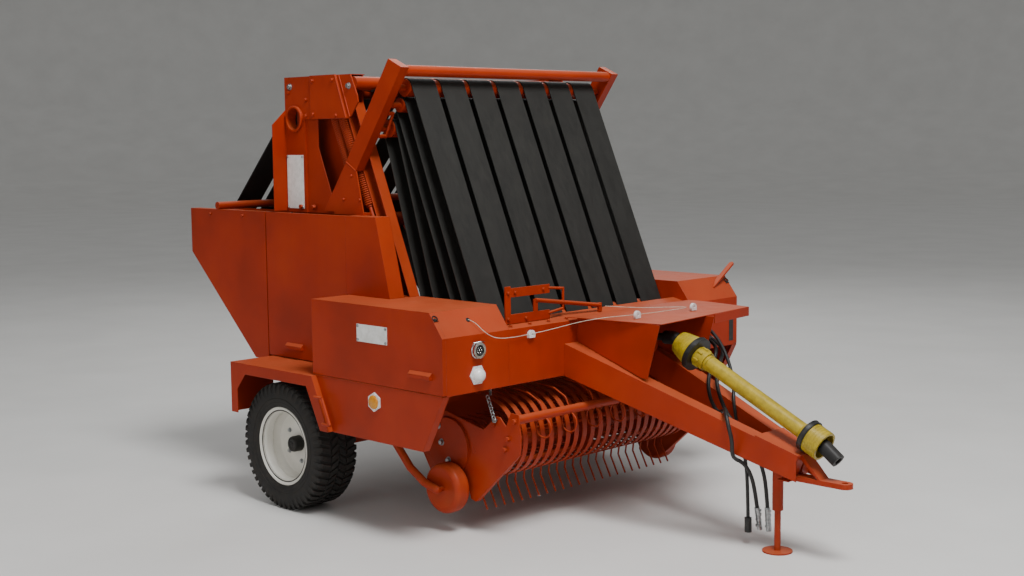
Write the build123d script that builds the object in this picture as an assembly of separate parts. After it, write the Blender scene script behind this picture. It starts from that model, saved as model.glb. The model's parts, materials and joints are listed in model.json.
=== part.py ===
from build123d import *
from math import asin, atan2, cos, degrees, hypot, pi, radians, sin, tan
import os

# Towed round baler with a belt chamber, in millimetres.
# X points forward along the drawbar, Y to the machine's left, Z up from the ground.
# X = 0 is the front face of the body; everything is moved along X when it is written,
# so that the origin lies midway along the machine.

os.makedirs("parts", exist_ok=True)

# ---------------------------------------------------------------- driving dimensions
SHEET = 4                 # panel steel
PLATE = 8                 # chamber walls and brackets
SEAT_GAP = 0.3            # rest gap between a moving piece and its seat
RUN_GAP = 6               # clearance between pieces that move past each other

# drive boxes either side of the front
BODY_HALF_WIDTH = 1200
BOX_REAR_X = -1029
BOX_TOP_Z = 1207
BOX_BOTTOM_Z = 804
BOX_CHAMFER_RUN = 92
BOX_CHAMFER_DROP = 122
DOOR_DEPTH = 26
PANEL_BOTTOM_Z = 508
PANEL_FRONT_SLANT = 152
PANEL_FLANGE = 45

# chamber walls, side covers and tail
WALL_INNER_Y = 740
WALL_BOTTOM_Z = 600
COVER_Y = 945
COVER_TOP_Z = 1636
COVER_FRONT_TOP_X = -792
COVER_FRONT_FOOT_X = -683
COVER_FLANGE = 100
COVER_SPLIT_X = -1046
TAIL_SPLIT_X = -1780
TAIL_REAR_X = -2559
TAIL_REAR_FOOT_Z = 1369
TAIL_LOW_X = -1915
TAIL_LOW_Z = 772
TAIL_OPENING = 60

# towers over the chamber
TOWER_Y = 850
TOWER_TOP_Z = 2403
TOWER_REAR_X = -1693
TOWER_FRONT_X = -1094
TOWER_HEAD_Z = TOWER_TOP_Z - 241
TOWER_COLUMN_X = -1510
HEAD_PIPE_X = -1597
HEAD_PIPE_Z = TOWER_HEAD_Z + 4
HEAD_PIPE_DIA = 147

# front posts of the chamber
POST_FOOT_X = -679
POST_TOP_X = -1117
POST_TOP_Z = 2250
POST_DEPTH = 90
POST_OUTER_Y = 808

# roller frame in front of the posts
FRAME_TUBE_X = -698
FRAME_TUBE_Z = 2407
FRAME_TUBE_DIA = 60
ARM_INNER_Y = 812
ARM_WIDTH = 55
ARM_DEPTH = 115
LADDER_INNER_Y = 764
LADDER_RODS = ((-842, 2185), (-905, 2064))

TENSION_TUBE_DIA = 60
TUBE_TOP_Z = TOWER_HEAD_Z + 3

# belts
BELT_COUNT = 7
BELT_WIDTH = 175
BELT_BAND = 1451
BELT_THICK = 6
SHAFT_DIA = 35

# front beam and hood over the gearbox
BEAM_DEPTH = 120
BEAM_TOP_Z = 1113
BEAM_BOTTOM_Z = 798
HOOD_WALL_Y = 228
HOOD_FRONT_X = 560
HOOD_TOP_Z = 1107
HOOD_LIP = 50

# drawbar
BAR_ROOT_WIDTH = 100
BAR_ROOT_Y = 280
BAR_ROOT_TOP_Z = 968
BAR_ROOT_DEPTH = 173
BAR_NOSE_X = 1286
BAR_NOSE_WIDTH = 75
BAR_NOSE_Y = 42
BAR_NOSE_TOP_Z = 512
BAR_NOSE_DEPTH = 125
BAR_NOSE_SLANT = 50
STEP_REAR_X = 1068
RAMP_RUN = 100
RAMP_PLATE = 14
HITCH_TIP_X = 1538
HITCH_REAR_X = 1170
HITCH_EYE_X = 1500
HITCH_Z = 395
HITCH_PLATE = 25
HITCH_PLATE_WIDTH = 76
HITCH_EYE_DIA = 32

# jack
JACK_X = 1122
JACK_TUBE_DIA = 54
JACK_LEG_DIA = 32
JACK_TUBE_BOTTOM_Z = 211
JACK_TOP_Z = 568
JACK_STROKE = 180
JACK_BRACKET = 24
JACK_FOOT_DIA = 150

# wheels and axle
TYRE_RADIUS = 356
TYRE_WIDTH = 262
WHEEL_X = -1355
WHEEL_OUTER_Y = 1188
RIM_DIA = 440
RIM_BEAD_DIA = 391
HUB_DIA = 150
SPINDLE_DIA = 45
AXLE_BEAM = 100
AXLE_HALF = 920
RIM_WIDTH = 225
DISC_OFFSET = 20
HUB_CAP_DIA = 90

# fenders
FENDER_Y = BODY_HALF_WIDTH + 35
FENDER_TOP_Z = 798
FENDER_REAR_X = -1751
FENDER_FRONT_TOP_X = -1001
FENDER_FRONT_FOOT_X = -866
FENDER_FOOT_Z = 511
FENDER_RIM = 60
FENDER_INNER_Y = 905
GRAB_DIA = 16
GRAB_RAIL = ((-20, 690), (45, 690), (45, 552), (-20, 552))

# pickup
PICKUP_HALF_WIDTH = 794
REEL_X = -215
REEL_Z = 440
REEL_TIP_RADIUS = 317
REEL_BAR_RADIUS = 105
REEL_BAR_DIA = 30
REEL_HALF = PICKUP_HALF_WIDTH - 24
REEL_JOURNAL_DIA = 30
REEL_ROWS = 3
REEL_PHASE = -81
TINE_PITCH = 65
TINE_COUNT = 1 + int(2 * (PICKUP_HALF_WIDTH - 46) / TINE_PITCH)
TINE_DIA = 7
BAND_WIDTH = 34
BAND_THICK = 3
BAND_X = -190
BAND_BOTTOM_Z = 289
BAND_RADIUS = 212
BAND_TOP_ANGLE = 78
BAND_REAR_X = -430
CHEEK = 6
CHEEK_INNER_Y = PICKUP_HALF_WIDTH - CHEEK
NOSE_INNER_Y = CHEEK_INNER_Y - 30
BACK_SHEET_RADIUS = 330
BACK_SHEET_START = 131
BACK_SHEET_END = 206.2
REEL_COVER_X = -400
REEL_COVER_Z = 437
REEL_COVER_DIA = 306
REEL_COVER_DEPTH = 14
BAND_FOOT_X = -510
HOOP_RADIUS = 52
HOOP_DIA = 8
HOOP_COUNT = 3
HOOP_STEP = 3
GUARD_WIRE = ((87, 648), (62, 700), (-20, 738), (-400, 782))
LINK_RADIUS = 10
LINK_DIA = 6
LINK_COUNT = 9
CHAIN_FOOT_X = -45
CHAIN_FOOT_Z = 622
CHAIN_TOP_X = -92
CHAIN_TOP_Z = 738
WIND_TUBE_X = 87
WIND_TUBE_Z = 637
WIND_TUBE_DIA = 46
PICKUP_PIVOT_X = -760
PICKUP_PIVOT_Z = 590
PIVOT_DIA = 50
FLOOR_DRUM_DIA = 200

# gauge wheels
GAUGE_X = -346
GAUGE_Z = 235
GAUGE_DIA = 265
GAUGE_WIDTH = 95
GAUGE_GAP = 21
GAUGE_EDGE = 28
GAUGE_DISH = 420
GAUGE_OUTER_Y = PICKUP_HALF_WIDTH + GAUGE_GAP + GAUGE_WIDTH
GAUGE_ARM_Y = GAUGE_OUTER_Y + 27
GAUGE_TUBE_DIA = 42
GAUGE_AXLE_DIA = 24

# hoses
HOSE_DIA = 20
HOSE_BRACKET_X = 400

# power take-off shaft
PTO_REAR_X = 475
PTO_REAR_Z = 1006
PTO_FALL = 0.484
PTO_BELL_DIA = 120
PTO_CONE_DIA = 168
PTO_RING_X = 602
PTO_RING_WIDTH = 26
PTO_RING_DIA = 182
PTO_COLLAR_DIA = 100
PTO_COLLAR_LENGTH = 60
PTO_TUBE_DIA = 80
PTO_FLARE_X = 1262
PTO_FRONT_RING_X = 1287
PTO_FRONT_RING_WIDTH = 24
PTO_FRONT_RING_DIA = 162
PTO_CUP_DIA = 150
PTO_CUP_BORE = 126
PTO_CUP_DEPTH = 50
PTO_FRONT_X = 1385
PTO_SHAFT_DIA = 40
PTO_YOKE_DIA = 72
PTO_YOKE_FALL = 0.75
PTO_YOKE_END_X = 1462
PTO_YOKE_BORE = 40
GEARBOX_LENGTH = 290
GEARBOX_HALF = 92

# upright hinges of the box doors
HINGE_DIA = 14
HINGE_ARM = 12
HINGE_BARRELS = 5
HINGE_HEIGHTS = ((860, 930), (1000, 1070))

# reflectors and lamps
LENS_PLATE = 10
LENS_DEPTH = 12

# belt rollers: name, x, z, radius, 1 inside the belts' loop or -1 outside it
ROLLERS = (
    ("tower rear", -1655, TOWER_TOP_Z - 73, 45, 1),
    ("tower front", -1082, TOWER_TOP_Z - 51, 38, -1),
    ("front top", -780, 2320, 47, 1),
    ("front low", -245, 1060, 50, 1),
    ("second top", -824, 2229, 38, -1),
    ("second low", -440, 985, 70, 1),
    ("third top", -917, 2105, 48, -1),
    ("chamber front", -603, 760, 50, 1),
    ("tail low", -1935, 880, 50, 1),
    ("tail rear", -2480, 1495, 50, 1),
)
WALL_ROLLERS = ("front low", "second low", "chamber front")
FRAME_ROLLERS = ("front top", "second top", "third top")
TAIL_ROLLERS = ("tail low", "tail rear")

MID_X = (TAIL_REAR_X + HITCH_TIP_X) / 2
SIDES = (("right", -1), ("left", 1))


# ---------------------------------------------------------------- helpers
def save(name, *solids):
    """Write one node, its pieces kept as separate solids."""
    parts = []
    for item in solids:
        parts.extend(item.solids())
    moved = Compound(children=[Pos(-MID_X, 0, 0) * solid for solid in parts])
    export_step(moved, f"parts/{name}.step")


def block(x0, x1, y0, y1, z0, z1):
    """Box between two corners given as ranges."""
    size = (abs(x1 - x0), abs(y1 - y0), abs(z1 - z0))
    return Pos((x0 + x1) / 2, (y0 + y1) / 2, (z0 + z1) / 2) * Box(*size)


def prism(points, y0, y1):
    """Solid between two Y planes with an outline given as (x, z) corners."""
    low, high = sorted((y0, y1))
    wire = Polyline(*[(x, low, z) for x, z in points], close=True)
    return extrude(make_face(wire), amount=high - low, dir=(0, 1, 0))


def rod(start, end, dia, bore=0):
    """Round bar, or a tube when it has a bore, between two points."""
    start, end = Vector(*start), Vector(*end)
    plane = Plane(origin=start, z_dir=end - start)
    length = (end - start).length
    seat = (Align.CENTER, Align.CENTER, Align.MIN)
    bar = Cylinder(dia / 2, length, align=seat)
    if bore:
        bar -= Cylinder(bore / 2, length, align=seat)
    return plane * bar


def cross_rod(x, z, dia, y0, y1, bore=0):
    """Round bar along Y."""
    return rod((x, min(y0, y1), z), (x, max(y0, y1), z), dia, bore)


def post_x(z):
    """Front edge of the chamber at one height."""
    return POST_FOOT_X + (POST_TOP_X - POST_FOOT_X) * (z - BOX_TOP_Z) / (POST_TOP_Z - BOX_TOP_Z)


# ---------------------------------------------------------------- belts and their rollers
def stand_off(roller, level):
    """Distance from a roller's centre to the belt face that lies level above its inner face."""
    above = level if roller[4] > 0 else BELT_THICK - level
    return roller[3] + SEAT_GAP + above


def straight_run(first, second, level):
    """Ends of a belt face between two rollers."""
    _, x0, z0, _, side0 = first
    _, x1, z1, _, side1 = second
    signed0 = -side0 * stand_off(first, level)
    signed1 = -side1 * stand_off(second, level)
    gap = hypot(x1 - x0, z1 - z0)
    heading = atan2(z1 - z0, x1 - x0) - asin((signed1 - signed0) / gap)
    nx, nz = -sin(heading), cos(heading)
    return (x0 - signed0 * nx, z0 - signed0 * nz), (x1 - signed1 * nx, z1 - signed1 * nz)


def point_along(span, distance):
    """Point on a run, at a distance from its start, or from its end if negative."""
    (x0, z0), (x1, z1) = span
    length = hypot(x1 - x0, z1 - z0)
    share = (distance if distance > 0 else length + distance) / length
    return x0 + (x1 - x0) * share, z0 + (z1 - z0) * share


def wrap_middle(roller, before, after, level):
    """Point halfway round a roller, between the run that comes in and the one that leaves."""
    _, x, z, _, side = roller
    start = atan2(before[1] - z, before[0] - x)
    turn = atan2(after[1] - z, after[0] - x) - start
    turn = -side * ((-side * turn) % (2 * pi))
    reach = stand_off(roller, level)
    return x + reach * cos(start + turn / 2), z + reach * sin(start + turn / 2)


def belt_section(rollers, start=0, end=0):
    """Outline of an open belt round a row of rollers, cut back from its first and last one."""
    edges = []
    ends = []
    for level in (0, BELT_THICK):
        spans = [straight_run(a, b, level) for a, b in zip(rollers, rollers[1:])]
        if start:
            spans[0] = (point_along(spans[0], start), spans[0][1])
        if end:
            spans[-1] = (spans[-1][0], point_along(spans[-1], -end))
        edges += [Line(*[(x, 0, z) for x, z in span]) for span in spans]
        for roller, (_, before), (after, _) in zip(rollers[1:], spans, spans[1:]):
            middle = wrap_middle(roller, before, after, level)
            edges.append(ThreePointArc(*[(x, 0, z) for x, z in (before, middle, after)]))
        ends.append((spans[0][0], spans[-1][1]))
    edges += [Line((a[0], 0, a[1]), (b[0], 0, b[1])) for a, b in zip(*ends)]
    return make_face(Wire(edges))


def belts(section):
    """Copies of one belt side by side across the band."""
    pitch = (BELT_BAND - BELT_WIDTH) / (BELT_COUNT - 1)
    first = extrude(section, amount=BELT_WIDTH, dir=(0, 1, 0))
    return [Pos(0, -BELT_BAND / 2 + i * pitch, 0) * first for i in range(BELT_COUNT)]


def roller_row(names, half):
    """Rollers the width of the belts, each with a shaft that reaches half to either side."""
    pieces = []
    for name in names:
        _, x, z, radius, _ = BY_NAME[name]
        drum = cross_rod(x, z, 2 * radius, -DRUM_HALF, DRUM_HALF)
        pieces.append(drum + cross_rod(x, z, SHAFT_DIA, -half, half))
    return pieces


BY_NAME = {roller[0]: roller for roller in ROLLERS}
DRUM_HALF = WALL_INNER_Y - RUN_GAP
WALL_OUTER_Y = WALL_INNER_Y + PLATE
HEAD_INNER_Y = TOWER_Y - PLATE
TOWER_TUBE_DIA = 2 * BY_NAME["tower front"][3]
HINGE = BY_NAME["tower rear"]
LAP_HINGE = (*HINGE[:3], HINGE[3] + BELT_THICK + RUN_GAP, HINGE[4])
FLOOR_CUT = BY_NAME["chamber front"][1] - TAIL_SPLIT_X

fixed_loop = [BY_NAME[name] for name in (
    "tail rear", "tower rear", "tower front", "front top", "front low", "second top",
    "second low", "third top", "chamber front", "tail low")]
tail_loop = [BY_NAME["chamber front"], BY_NAME["tail low"], BY_NAME["tail rear"], LAP_HINGE]
rear_run = straight_run(fixed_loop[0], fixed_loop[1], 0)
rear_length = hypot(rear_run[1][0] - rear_run[0][0], rear_run[1][1] - rear_run[0][1])
floor_run = straight_run(fixed_loop[-2], fixed_loop[-1], 0)
floor_length = hypot(floor_run[1][0] - floor_run[0][0], floor_run[1][1] - floor_run[0][1])
belts_front = belts(belt_section(fixed_loop, rear_length - 1, floor_length - FLOOR_CUT))
belts_rear = belts(belt_section(tail_loop, FLOOR_CUT + RUN_GAP, 2))
save("belts_front", *belts_front)
save("belts_rear", *belts_rear)
tower_tube = cross_rod(*BY_NAME["tower front"][1:3], TOWER_TUBE_DIA, -HEAD_INNER_Y, HEAD_INNER_Y)
fixed_rollers = roller_row(WALL_ROLLERS, WALL_OUTER_Y) + roller_row(FRAME_ROLLERS, ARM_INNER_Y)
fixed_rollers += roller_row(("tower rear",), HEAD_INNER_Y)
save("rollers_front", tower_tube, *fixed_rollers)


# ---------------------------------------------------------------- sheet helpers
def sheet(points, y, side, thick=SHEET):
    """Flat sheet in an XZ plane with its outer face at y on one side of the machine."""
    return prism(points, side * y, side * (y - thick))


def inset(points, amount):
    """Outline moved inwards, as a face at Y = 0."""
    wire = Polyline(*[(x, 0, z) for x, z in points], close=True)
    return offset(make_face(wire), -amount)


def pan(points, y, side, depth, thick=SHEET):
    """Pressed panel: an outer sheet with its rim turned inwards all round."""
    hollow = extrude(inset(points, thick), amount=depth, dir=(0, 1, 0))
    start = -(y - thick) if side < 0 else y - depth - thick
    return prism(points, side * y, side * (y - depth)) - Pos(0, start, 0) * hollow


def ring(points, y0, y1, thick=SHEET):
    """Tube of sheet along Y with an outline given as (x, z) corners."""
    low, high = sorted((y0, y1))
    hollow = extrude(inset(points, thick), amount=high - low, dir=(0, 1, 0))
    return prism(points, low, high) - Pos(0, low, 0) * hollow


# ---------------------------------------------------------------- chamber walls and floor
wall_outline = (
    (0, BEAM_BOTTOM_Z), (0, BOX_TOP_Z - BOX_CHAMFER_DROP), (-BOX_CHAMFER_RUN, BOX_TOP_Z),
    (post_x(BOX_TOP_Z), BOX_TOP_Z), (POST_TOP_X, POST_TOP_Z), (POST_TOP_X, TOWER_TOP_Z), (TOWER_REAR_X, TOWER_TOP_Z),
    (TOWER_REAR_X, COVER_TOP_Z), (TAIL_SPLIT_X, COVER_TOP_Z), (TAIL_SPLIT_X, WALL_BOTTOM_Z),
    (PICKUP_PIVOT_X - 140, WALL_BOTTOM_Z), (PICKUP_PIVOT_X - 60, PICKUP_PIVOT_Z - 60),
    (PICKUP_PIVOT_X + 80, PICKUP_PIVOT_Z - 60), (-480, 700), (-380, BEAM_BOTTOM_Z),
)
walls = []
for _, side in SIDES:
    wall = sheet(wall_outline, WALL_OUTER_Y, side, PLATE)
    post_outline = (
        (post_x(BOX_TOP_Z), BOX_TOP_Z), (POST_TOP_X, POST_TOP_Z),
        (POST_TOP_X - POST_DEPTH, POST_TOP_Z), (post_x(BOX_TOP_Z) - POST_DEPTH, BOX_TOP_Z),
    )
    post = ring(post_outline, side * (WALL_OUTER_Y), side * POST_OUTER_Y)
    holes = [(*BY_NAME[name][1:3], SHAFT_DIA) for name in (*WALL_ROLLERS, "tower rear")]
    holes += [(PICKUP_PIVOT_X, PICKUP_PIVOT_Z, PIVOT_DIA), (*BY_NAME["tower front"][1:3], TOWER_TUBE_DIA)]
    for x, z, dia in holes:
        wall -= cross_rod(x, z, dia + 2 * SEAT_GAP, side * (WALL_INNER_Y - 1), side * (WALL_OUTER_Y + 1))
    walls.append(wall + post)

save("chamber_walls", *walls)

drum = cross_rod(PICKUP_PIVOT_X, PICKUP_PIVOT_Z, FLOOR_DRUM_DIA, -DRUM_HALF, DRUM_HALF)
save("floor_drum", drum + cross_rod(PICKUP_PIVOT_X, PICKUP_PIVOT_Z, PIVOT_DIA, -PICKUP_HALF_WIDTH,
                                    PICKUP_HALF_WIDTH))


# ---------------------------------------------------------------- front beam and hood
beam_outline = ((0, BEAM_BOTTOM_Z), (0, BOX_TOP_Z - BOX_CHAMFER_DROP), (-BEAM_DEPTH, BEAM_TOP_Z),
                (-BEAM_DEPTH, BEAM_BOTTOM_Z))
save("front_beam", ring(beam_outline, -WALL_INNER_Y, WALL_INNER_Y))

hood_corners = ((0, -300), (HOOD_FRONT_X, -215), (460, 677), (149, 726), (0, 726))
hood_top = extrude(make_face(Polyline(*hood_corners, close=True)), amount=SHEET)
hood_top = Pos(0, 0, HOOD_TOP_Z - SHEET) * hood_top
lip_corners = ((460, 677), (149, 726), (149, 722), (456, 673), (505, 300), (509, 300))
lip = Pos(0, 0, HOOD_TOP_Z - HOOD_LIP) * extrude(
    make_face(Polyline(*lip_corners, close=True)), amount=HOOD_LIP - SHEET / 2)
hood_side = ((0, BAR_ROOT_TOP_Z), (0, HOOD_TOP_Z - SHEET), (HOOD_FRONT_X, HOOD_TOP_Z - SHEET),
             (480, 820), (440, 820))
hood_walls = [sheet(hood_side, HOOD_WALL_Y, side) for _, side in SIDES]
hose_bracket = block(HOSE_BRACKET_X - PLATE, HOSE_BRACKET_X, 250, 360, 930, HOOD_TOP_Z - SHEET / 2)
hood = hood_top + lip + hood_walls[0] + hood_walls[1] + hose_bracket
save("gearbox_hood", hood)


# ---------------------------------------------------------------- drawbar and hitch
def beam_end(x, y, top, width, depth):
    """Upright rectangle that a drawbar beam starts or ends with."""
    corners = ((x, y - width / 2, top), (x, y + width / 2, top),
               (x, y + width / 2, top - depth), (x, y - width / 2, top - depth))
    return make_face(Polyline(*corners, close=True))


drawbar = None
for _, side in SIDES:
    beam = loft([
        beam_end(0, side * BAR_ROOT_Y, BAR_ROOT_TOP_Z, BAR_ROOT_WIDTH, BAR_ROOT_DEPTH),
        beam_end(BAR_NOSE_X, side * BAR_NOSE_Y, BAR_NOSE_TOP_Z, BAR_NOSE_WIDTH, BAR_NOSE_DEPTH),
    ], ruled=True)
    drawbar = beam if drawbar is None else drawbar + beam
nose_half = BAR_NOSE_Y + BAR_NOSE_WIDTH / 2
nose_bottom = BAR_NOSE_TOP_Z - BAR_NOSE_DEPTH
hitch_top = HITCH_Z + HITCH_PLATE / 2
hitch_bottom = HITCH_Z - HITCH_PLATE / 2
slant = ((BAR_NOSE_X, BAR_NOSE_TOP_Z), (BAR_NOSE_X + 1, BAR_NOSE_TOP_Z), (BAR_NOSE_X + 1, nose_bottom - 1),
         (BAR_NOSE_X - BAR_NOSE_SLANT, nose_bottom - 1))
drawbar -= prism(slant, -nose_half - 1, nose_half + 1)
ramp = ((BAR_NOSE_X - RAMP_PLATE, BAR_NOSE_TOP_Z + PLATE / 2), (BAR_NOSE_X, BAR_NOSE_TOP_Z + PLATE / 2),
        (BAR_NOSE_X + RAMP_RUN, hitch_top), (BAR_NOSE_X + RAMP_RUN - RAMP_PLATE, hitch_top - 1),
        (BAR_NOSE_X - RAMP_PLATE, BAR_NOSE_TOP_Z - RAMP_PLATE))
nose = prism(ramp, -HITCH_PLATE_WIDTH / 2, HITCH_PLATE_WIDTH / 2)


def bar_line(rear, front):
    """Value along the drawbar at the rear edge of the step, from its values at both ends."""
    return rear + (front - rear) * STEP_REAR_X / BAR_NOSE_X


step_half = bar_line(BAR_ROOT_Y + BAR_ROOT_WIDTH / 2, nose_half)
step_z = bar_line(BAR_ROOT_TOP_Z, BAR_NOSE_TOP_Z)
step = Polyline((STEP_REAR_X, -step_half, step_z), (STEP_REAR_X, step_half, step_z),
                (BAR_NOSE_X, nose_half, BAR_NOSE_TOP_Z), (BAR_NOSE_X, -nose_half, BAR_NOSE_TOP_Z), close=True)
nose += extrude(make_face(step), amount=PLATE, dir=(0, 0, 1))
nose += block(JACK_X - JACK_TUBE_DIA, JACK_X + JACK_TUBE_DIA, -nose_half / 2, nose_half / 2,
              BAR_NOSE_TOP_Z - 2 * JACK_BRACKET, BAR_NOSE_TOP_Z - JACK_BRACKET)
tongue = block(HITCH_REAR_X, HITCH_EYE_X, -HITCH_PLATE_WIDTH / 2, HITCH_PLATE_WIDTH / 2,
               hitch_bottom, hitch_top)
tongue += block(HITCH_REAR_X, BAR_NOSE_X - BAR_NOSE_SLANT, -nose_half, nose_half, hitch_bottom, nose_bottom + 1)
tongue += Pos(HITCH_EYE_X, 0, HITCH_Z) * Cylinder(HITCH_PLATE_WIDTH / 2, HITCH_PLATE)
tongue -= Pos(HITCH_EYE_X, 0, HITCH_Z) * Cylinder(HITCH_EYE_DIA / 2, 2 * HITCH_PLATE)
drawbar = drawbar + nose + tongue - rod((JACK_X, 0, 0), (JACK_X, 0, JACK_TOP_Z), JACK_TUBE_DIA)
save("drawbar", drawbar)


# ---------------------------------------------------------------- jack
jack_tube = rod((JACK_X, 0, JACK_TUBE_BOTTOM_Z), (JACK_X, 0, JACK_TOP_Z), JACK_TUBE_DIA, JACK_LEG_DIA + 2)
jack_tube += Pos(JACK_X, 0, JACK_TOP_Z - SHEET / 2) * Cylinder(JACK_TUBE_DIA / 2, SHEET)
save("jack_tube", jack_tube)
jack_leg = rod((JACK_X, 0, SHEET), (JACK_X, 0, JACK_TOP_Z - JACK_STROKE - RUN_GAP - SHEET), JACK_LEG_DIA)
jack_leg += Pos(JACK_X, 0, SHEET) * Cylinder(JACK_FOOT_DIA / 2, SHEET * 2)
save("jack_leg", jack_leg)


# ---------------------------------------------------------------- axle and wheels
wheel_y = WHEEL_OUTER_Y - TYRE_WIDTH / 2
spindle_end = wheel_y + DISC_OFFSET + 34
axle = block(WHEEL_X - AXLE_BEAM / 2, WHEEL_X + AXLE_BEAM / 2, -AXLE_HALF, AXLE_HALF,
             TYRE_RADIUS - AXLE_BEAM / 2, TYRE_RADIUS + AXLE_BEAM / 2)
for _, side in SIDES:
    axle += cross_rod(WHEEL_X, TYRE_RADIUS, SPINDLE_DIA, side * AXLE_HALF, side * spindle_end)
    bracket = ((WHEEL_X - 180, WALL_BOTTOM_Z), (WHEEL_X + 180, WALL_BOTTOM_Z),
               (WHEEL_X + 50, TYRE_RADIUS), (WHEEL_X - 50, TYRE_RADIUS))
    axle += sheet(bracket, WALL_OUTER_Y, side, 2 * PLATE)
save("axle", axle)

half_tyre = TYRE_WIDTH / 2
half_rim = RIM_WIDTH / 2
bead = RIM_BEAD_DIA / 2
tyre_profile = Polyline(
    (bead, -half_rim), (RIM_DIA / 2 + 2, -half_rim), (RIM_DIA / 2 + 8, -half_rim - 9), (TYRE_RADIUS - 60, -half_tyre),
    (TYRE_RADIUS - 12, -half_tyre + 14), (TYRE_RADIUS, -half_tyre + 34),
    (TYRE_RADIUS, half_tyre - 34), (TYRE_RADIUS - 12, half_tyre - 14), (TYRE_RADIUS - 60, half_tyre),
    (RIM_DIA / 2 + 8, half_rim + 9), (RIM_DIA / 2 + 2, half_rim), (bead, half_rim), close=True)
tyre = revolve(make_face(Plane.XY * tyre_profile), axis=Axis.Y)
for tag, side in SIDES:
    centre = Pos(WHEEL_X, side * wheel_y, TYRE_RADIUS)
    save(f"tyre_{tag}", centre * tyre)
    rim_profile = Polyline(
        (RIM_DIA / 2, -half_rim - 8), (RIM_DIA / 2, -half_rim - SEAT_GAP),
        (bead - SEAT_GAP, -half_rim - SEAT_GAP), (bead - SEAT_GAP, half_rim + SEAT_GAP),
        (RIM_DIA / 2, half_rim + SEAT_GAP), (RIM_DIA / 2, half_rim + 8),
        (bead - 8, half_rim), (bead - 14, DISC_OFFSET + 6), (HUB_DIA / 2, DISC_OFFSET + 6),
        (HUB_DIA / 2, DISC_OFFSET - 2), (bead - 14, DISC_OFFSET - 2), (bead - 8, -half_rim), close=True)
    rim = revolve(make_face(Plane.XY * rim_profile), axis=Axis.Y)
    if side < 0:
        rim = mirror(rim, Plane.XZ)
    save(f"rim_{tag}", centre * rim)
    hub_start = side * (AXLE_HALF + RUN_GAP)
    hub_face = side * (wheel_y + DISC_OFFSET + 6)
    hub = cross_rod(WHEEL_X, TYRE_RADIUS, HUB_DIA, hub_start, hub_face)
    hub += cross_rod(WHEEL_X, TYRE_RADIUS, HUB_CAP_DIA, hub_face, side * (wheel_y + DISC_OFFSET + 50))
    hub -= cross_rod(WHEEL_X, TYRE_RADIUS, SPINDLE_DIA + 1, hub_start, side * (spindle_end + RUN_GAP))
    save(f"hub_{tag}", hub)


# ---------------------------------------------------------------- fenders, drive boxes and lower panels
def knuckles(axis, plan, heights, parity):
    """Every other barrel of an upright hinge, each with an arm of the given plan (x0, x1, y0, y1)."""
    low, high = heights
    step = (high - low) / HINGE_BARRELS
    row = []
    for i in range(parity, HINGE_BARRELS, 2):
        bottom, top = low + i * step + SEAT_GAP / 2, low + (i + 1) * step - SEAT_GAP / 2
        row.append(rod((*axis, bottom), (*axis, top), HINGE_DIA) + block(*plan, bottom, top))
    return row


fender_outer = ((FENDER_REAR_X, FENDER_FOOT_Z), (FENDER_REAR_X, FENDER_TOP_Z),
                (FENDER_FRONT_TOP_X, FENDER_TOP_Z), (FENDER_FRONT_FOOT_X, FENDER_FOOT_Z))
fender_opening = (
    (FENDER_REAR_X + FENDER_RIM, FENDER_FOOT_Z - 1), (FENDER_REAR_X + FENDER_RIM, FENDER_TOP_Z - 150),
    (FENDER_REAR_X + FENDER_RIM + 80, FENDER_TOP_Z - FENDER_RIM),
    (FENDER_FRONT_TOP_X - FENDER_RIM + 12, FENDER_TOP_Z - FENDER_RIM),
    (FENDER_FRONT_FOOT_X - FENDER_RIM - 8, FENDER_FOOT_Z - 1))
strip_outer = fender_outer
strip_inner = (
    (FENDER_REAR_X + SHEET, FENDER_FOOT_Z - 1), (FENDER_REAR_X + SHEET, FENDER_TOP_Z - SHEET),
    (FENDER_FRONT_TOP_X - SHEET + 1, FENDER_TOP_Z - SHEET), (FENDER_FRONT_FOOT_X - SHEET, FENDER_FOOT_Z - 1))


def fender_front(z):
    """Front edge of the fender at one height."""
    share = (z - FENDER_FOOT_Z) / (FENDER_TOP_Z - FENDER_FOOT_Z)
    return FENDER_FRONT_FOOT_X + (FENDER_FRONT_TOP_X - FENDER_FRONT_FOOT_X) * share


box_outline = (
    (BOX_REAR_X, BEAM_BOTTOM_Z), (BOX_REAR_X, BOX_TOP_Z), (-BOX_CHAMFER_RUN, BOX_TOP_Z),
    (0, BOX_TOP_Z - BOX_CHAMFER_DROP), (0, BEAM_BOTTOM_Z))
door_outline = (
    (BOX_REAR_X, BOX_BOTTOM_Z), (BOX_REAR_X, BOX_TOP_Z), (-BOX_CHAMFER_RUN, BOX_TOP_Z),
    (0, BOX_TOP_Z - BOX_CHAMFER_DROP), (0, BOX_BOTTOM_Z))
panel_outline = (
    (fender_front(BEAM_BOTTOM_Z) + SEAT_GAP, BEAM_BOTTOM_Z), (0, BEAM_BOTTOM_Z),
    (-PANEL_FRONT_SLANT, PANEL_BOTTOM_Z), (fender_front(PANEL_BOTTOM_Z) + SEAT_GAP, PANEL_BOTTOM_Z))
fenders, boxes, panels = [], [], []
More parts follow.
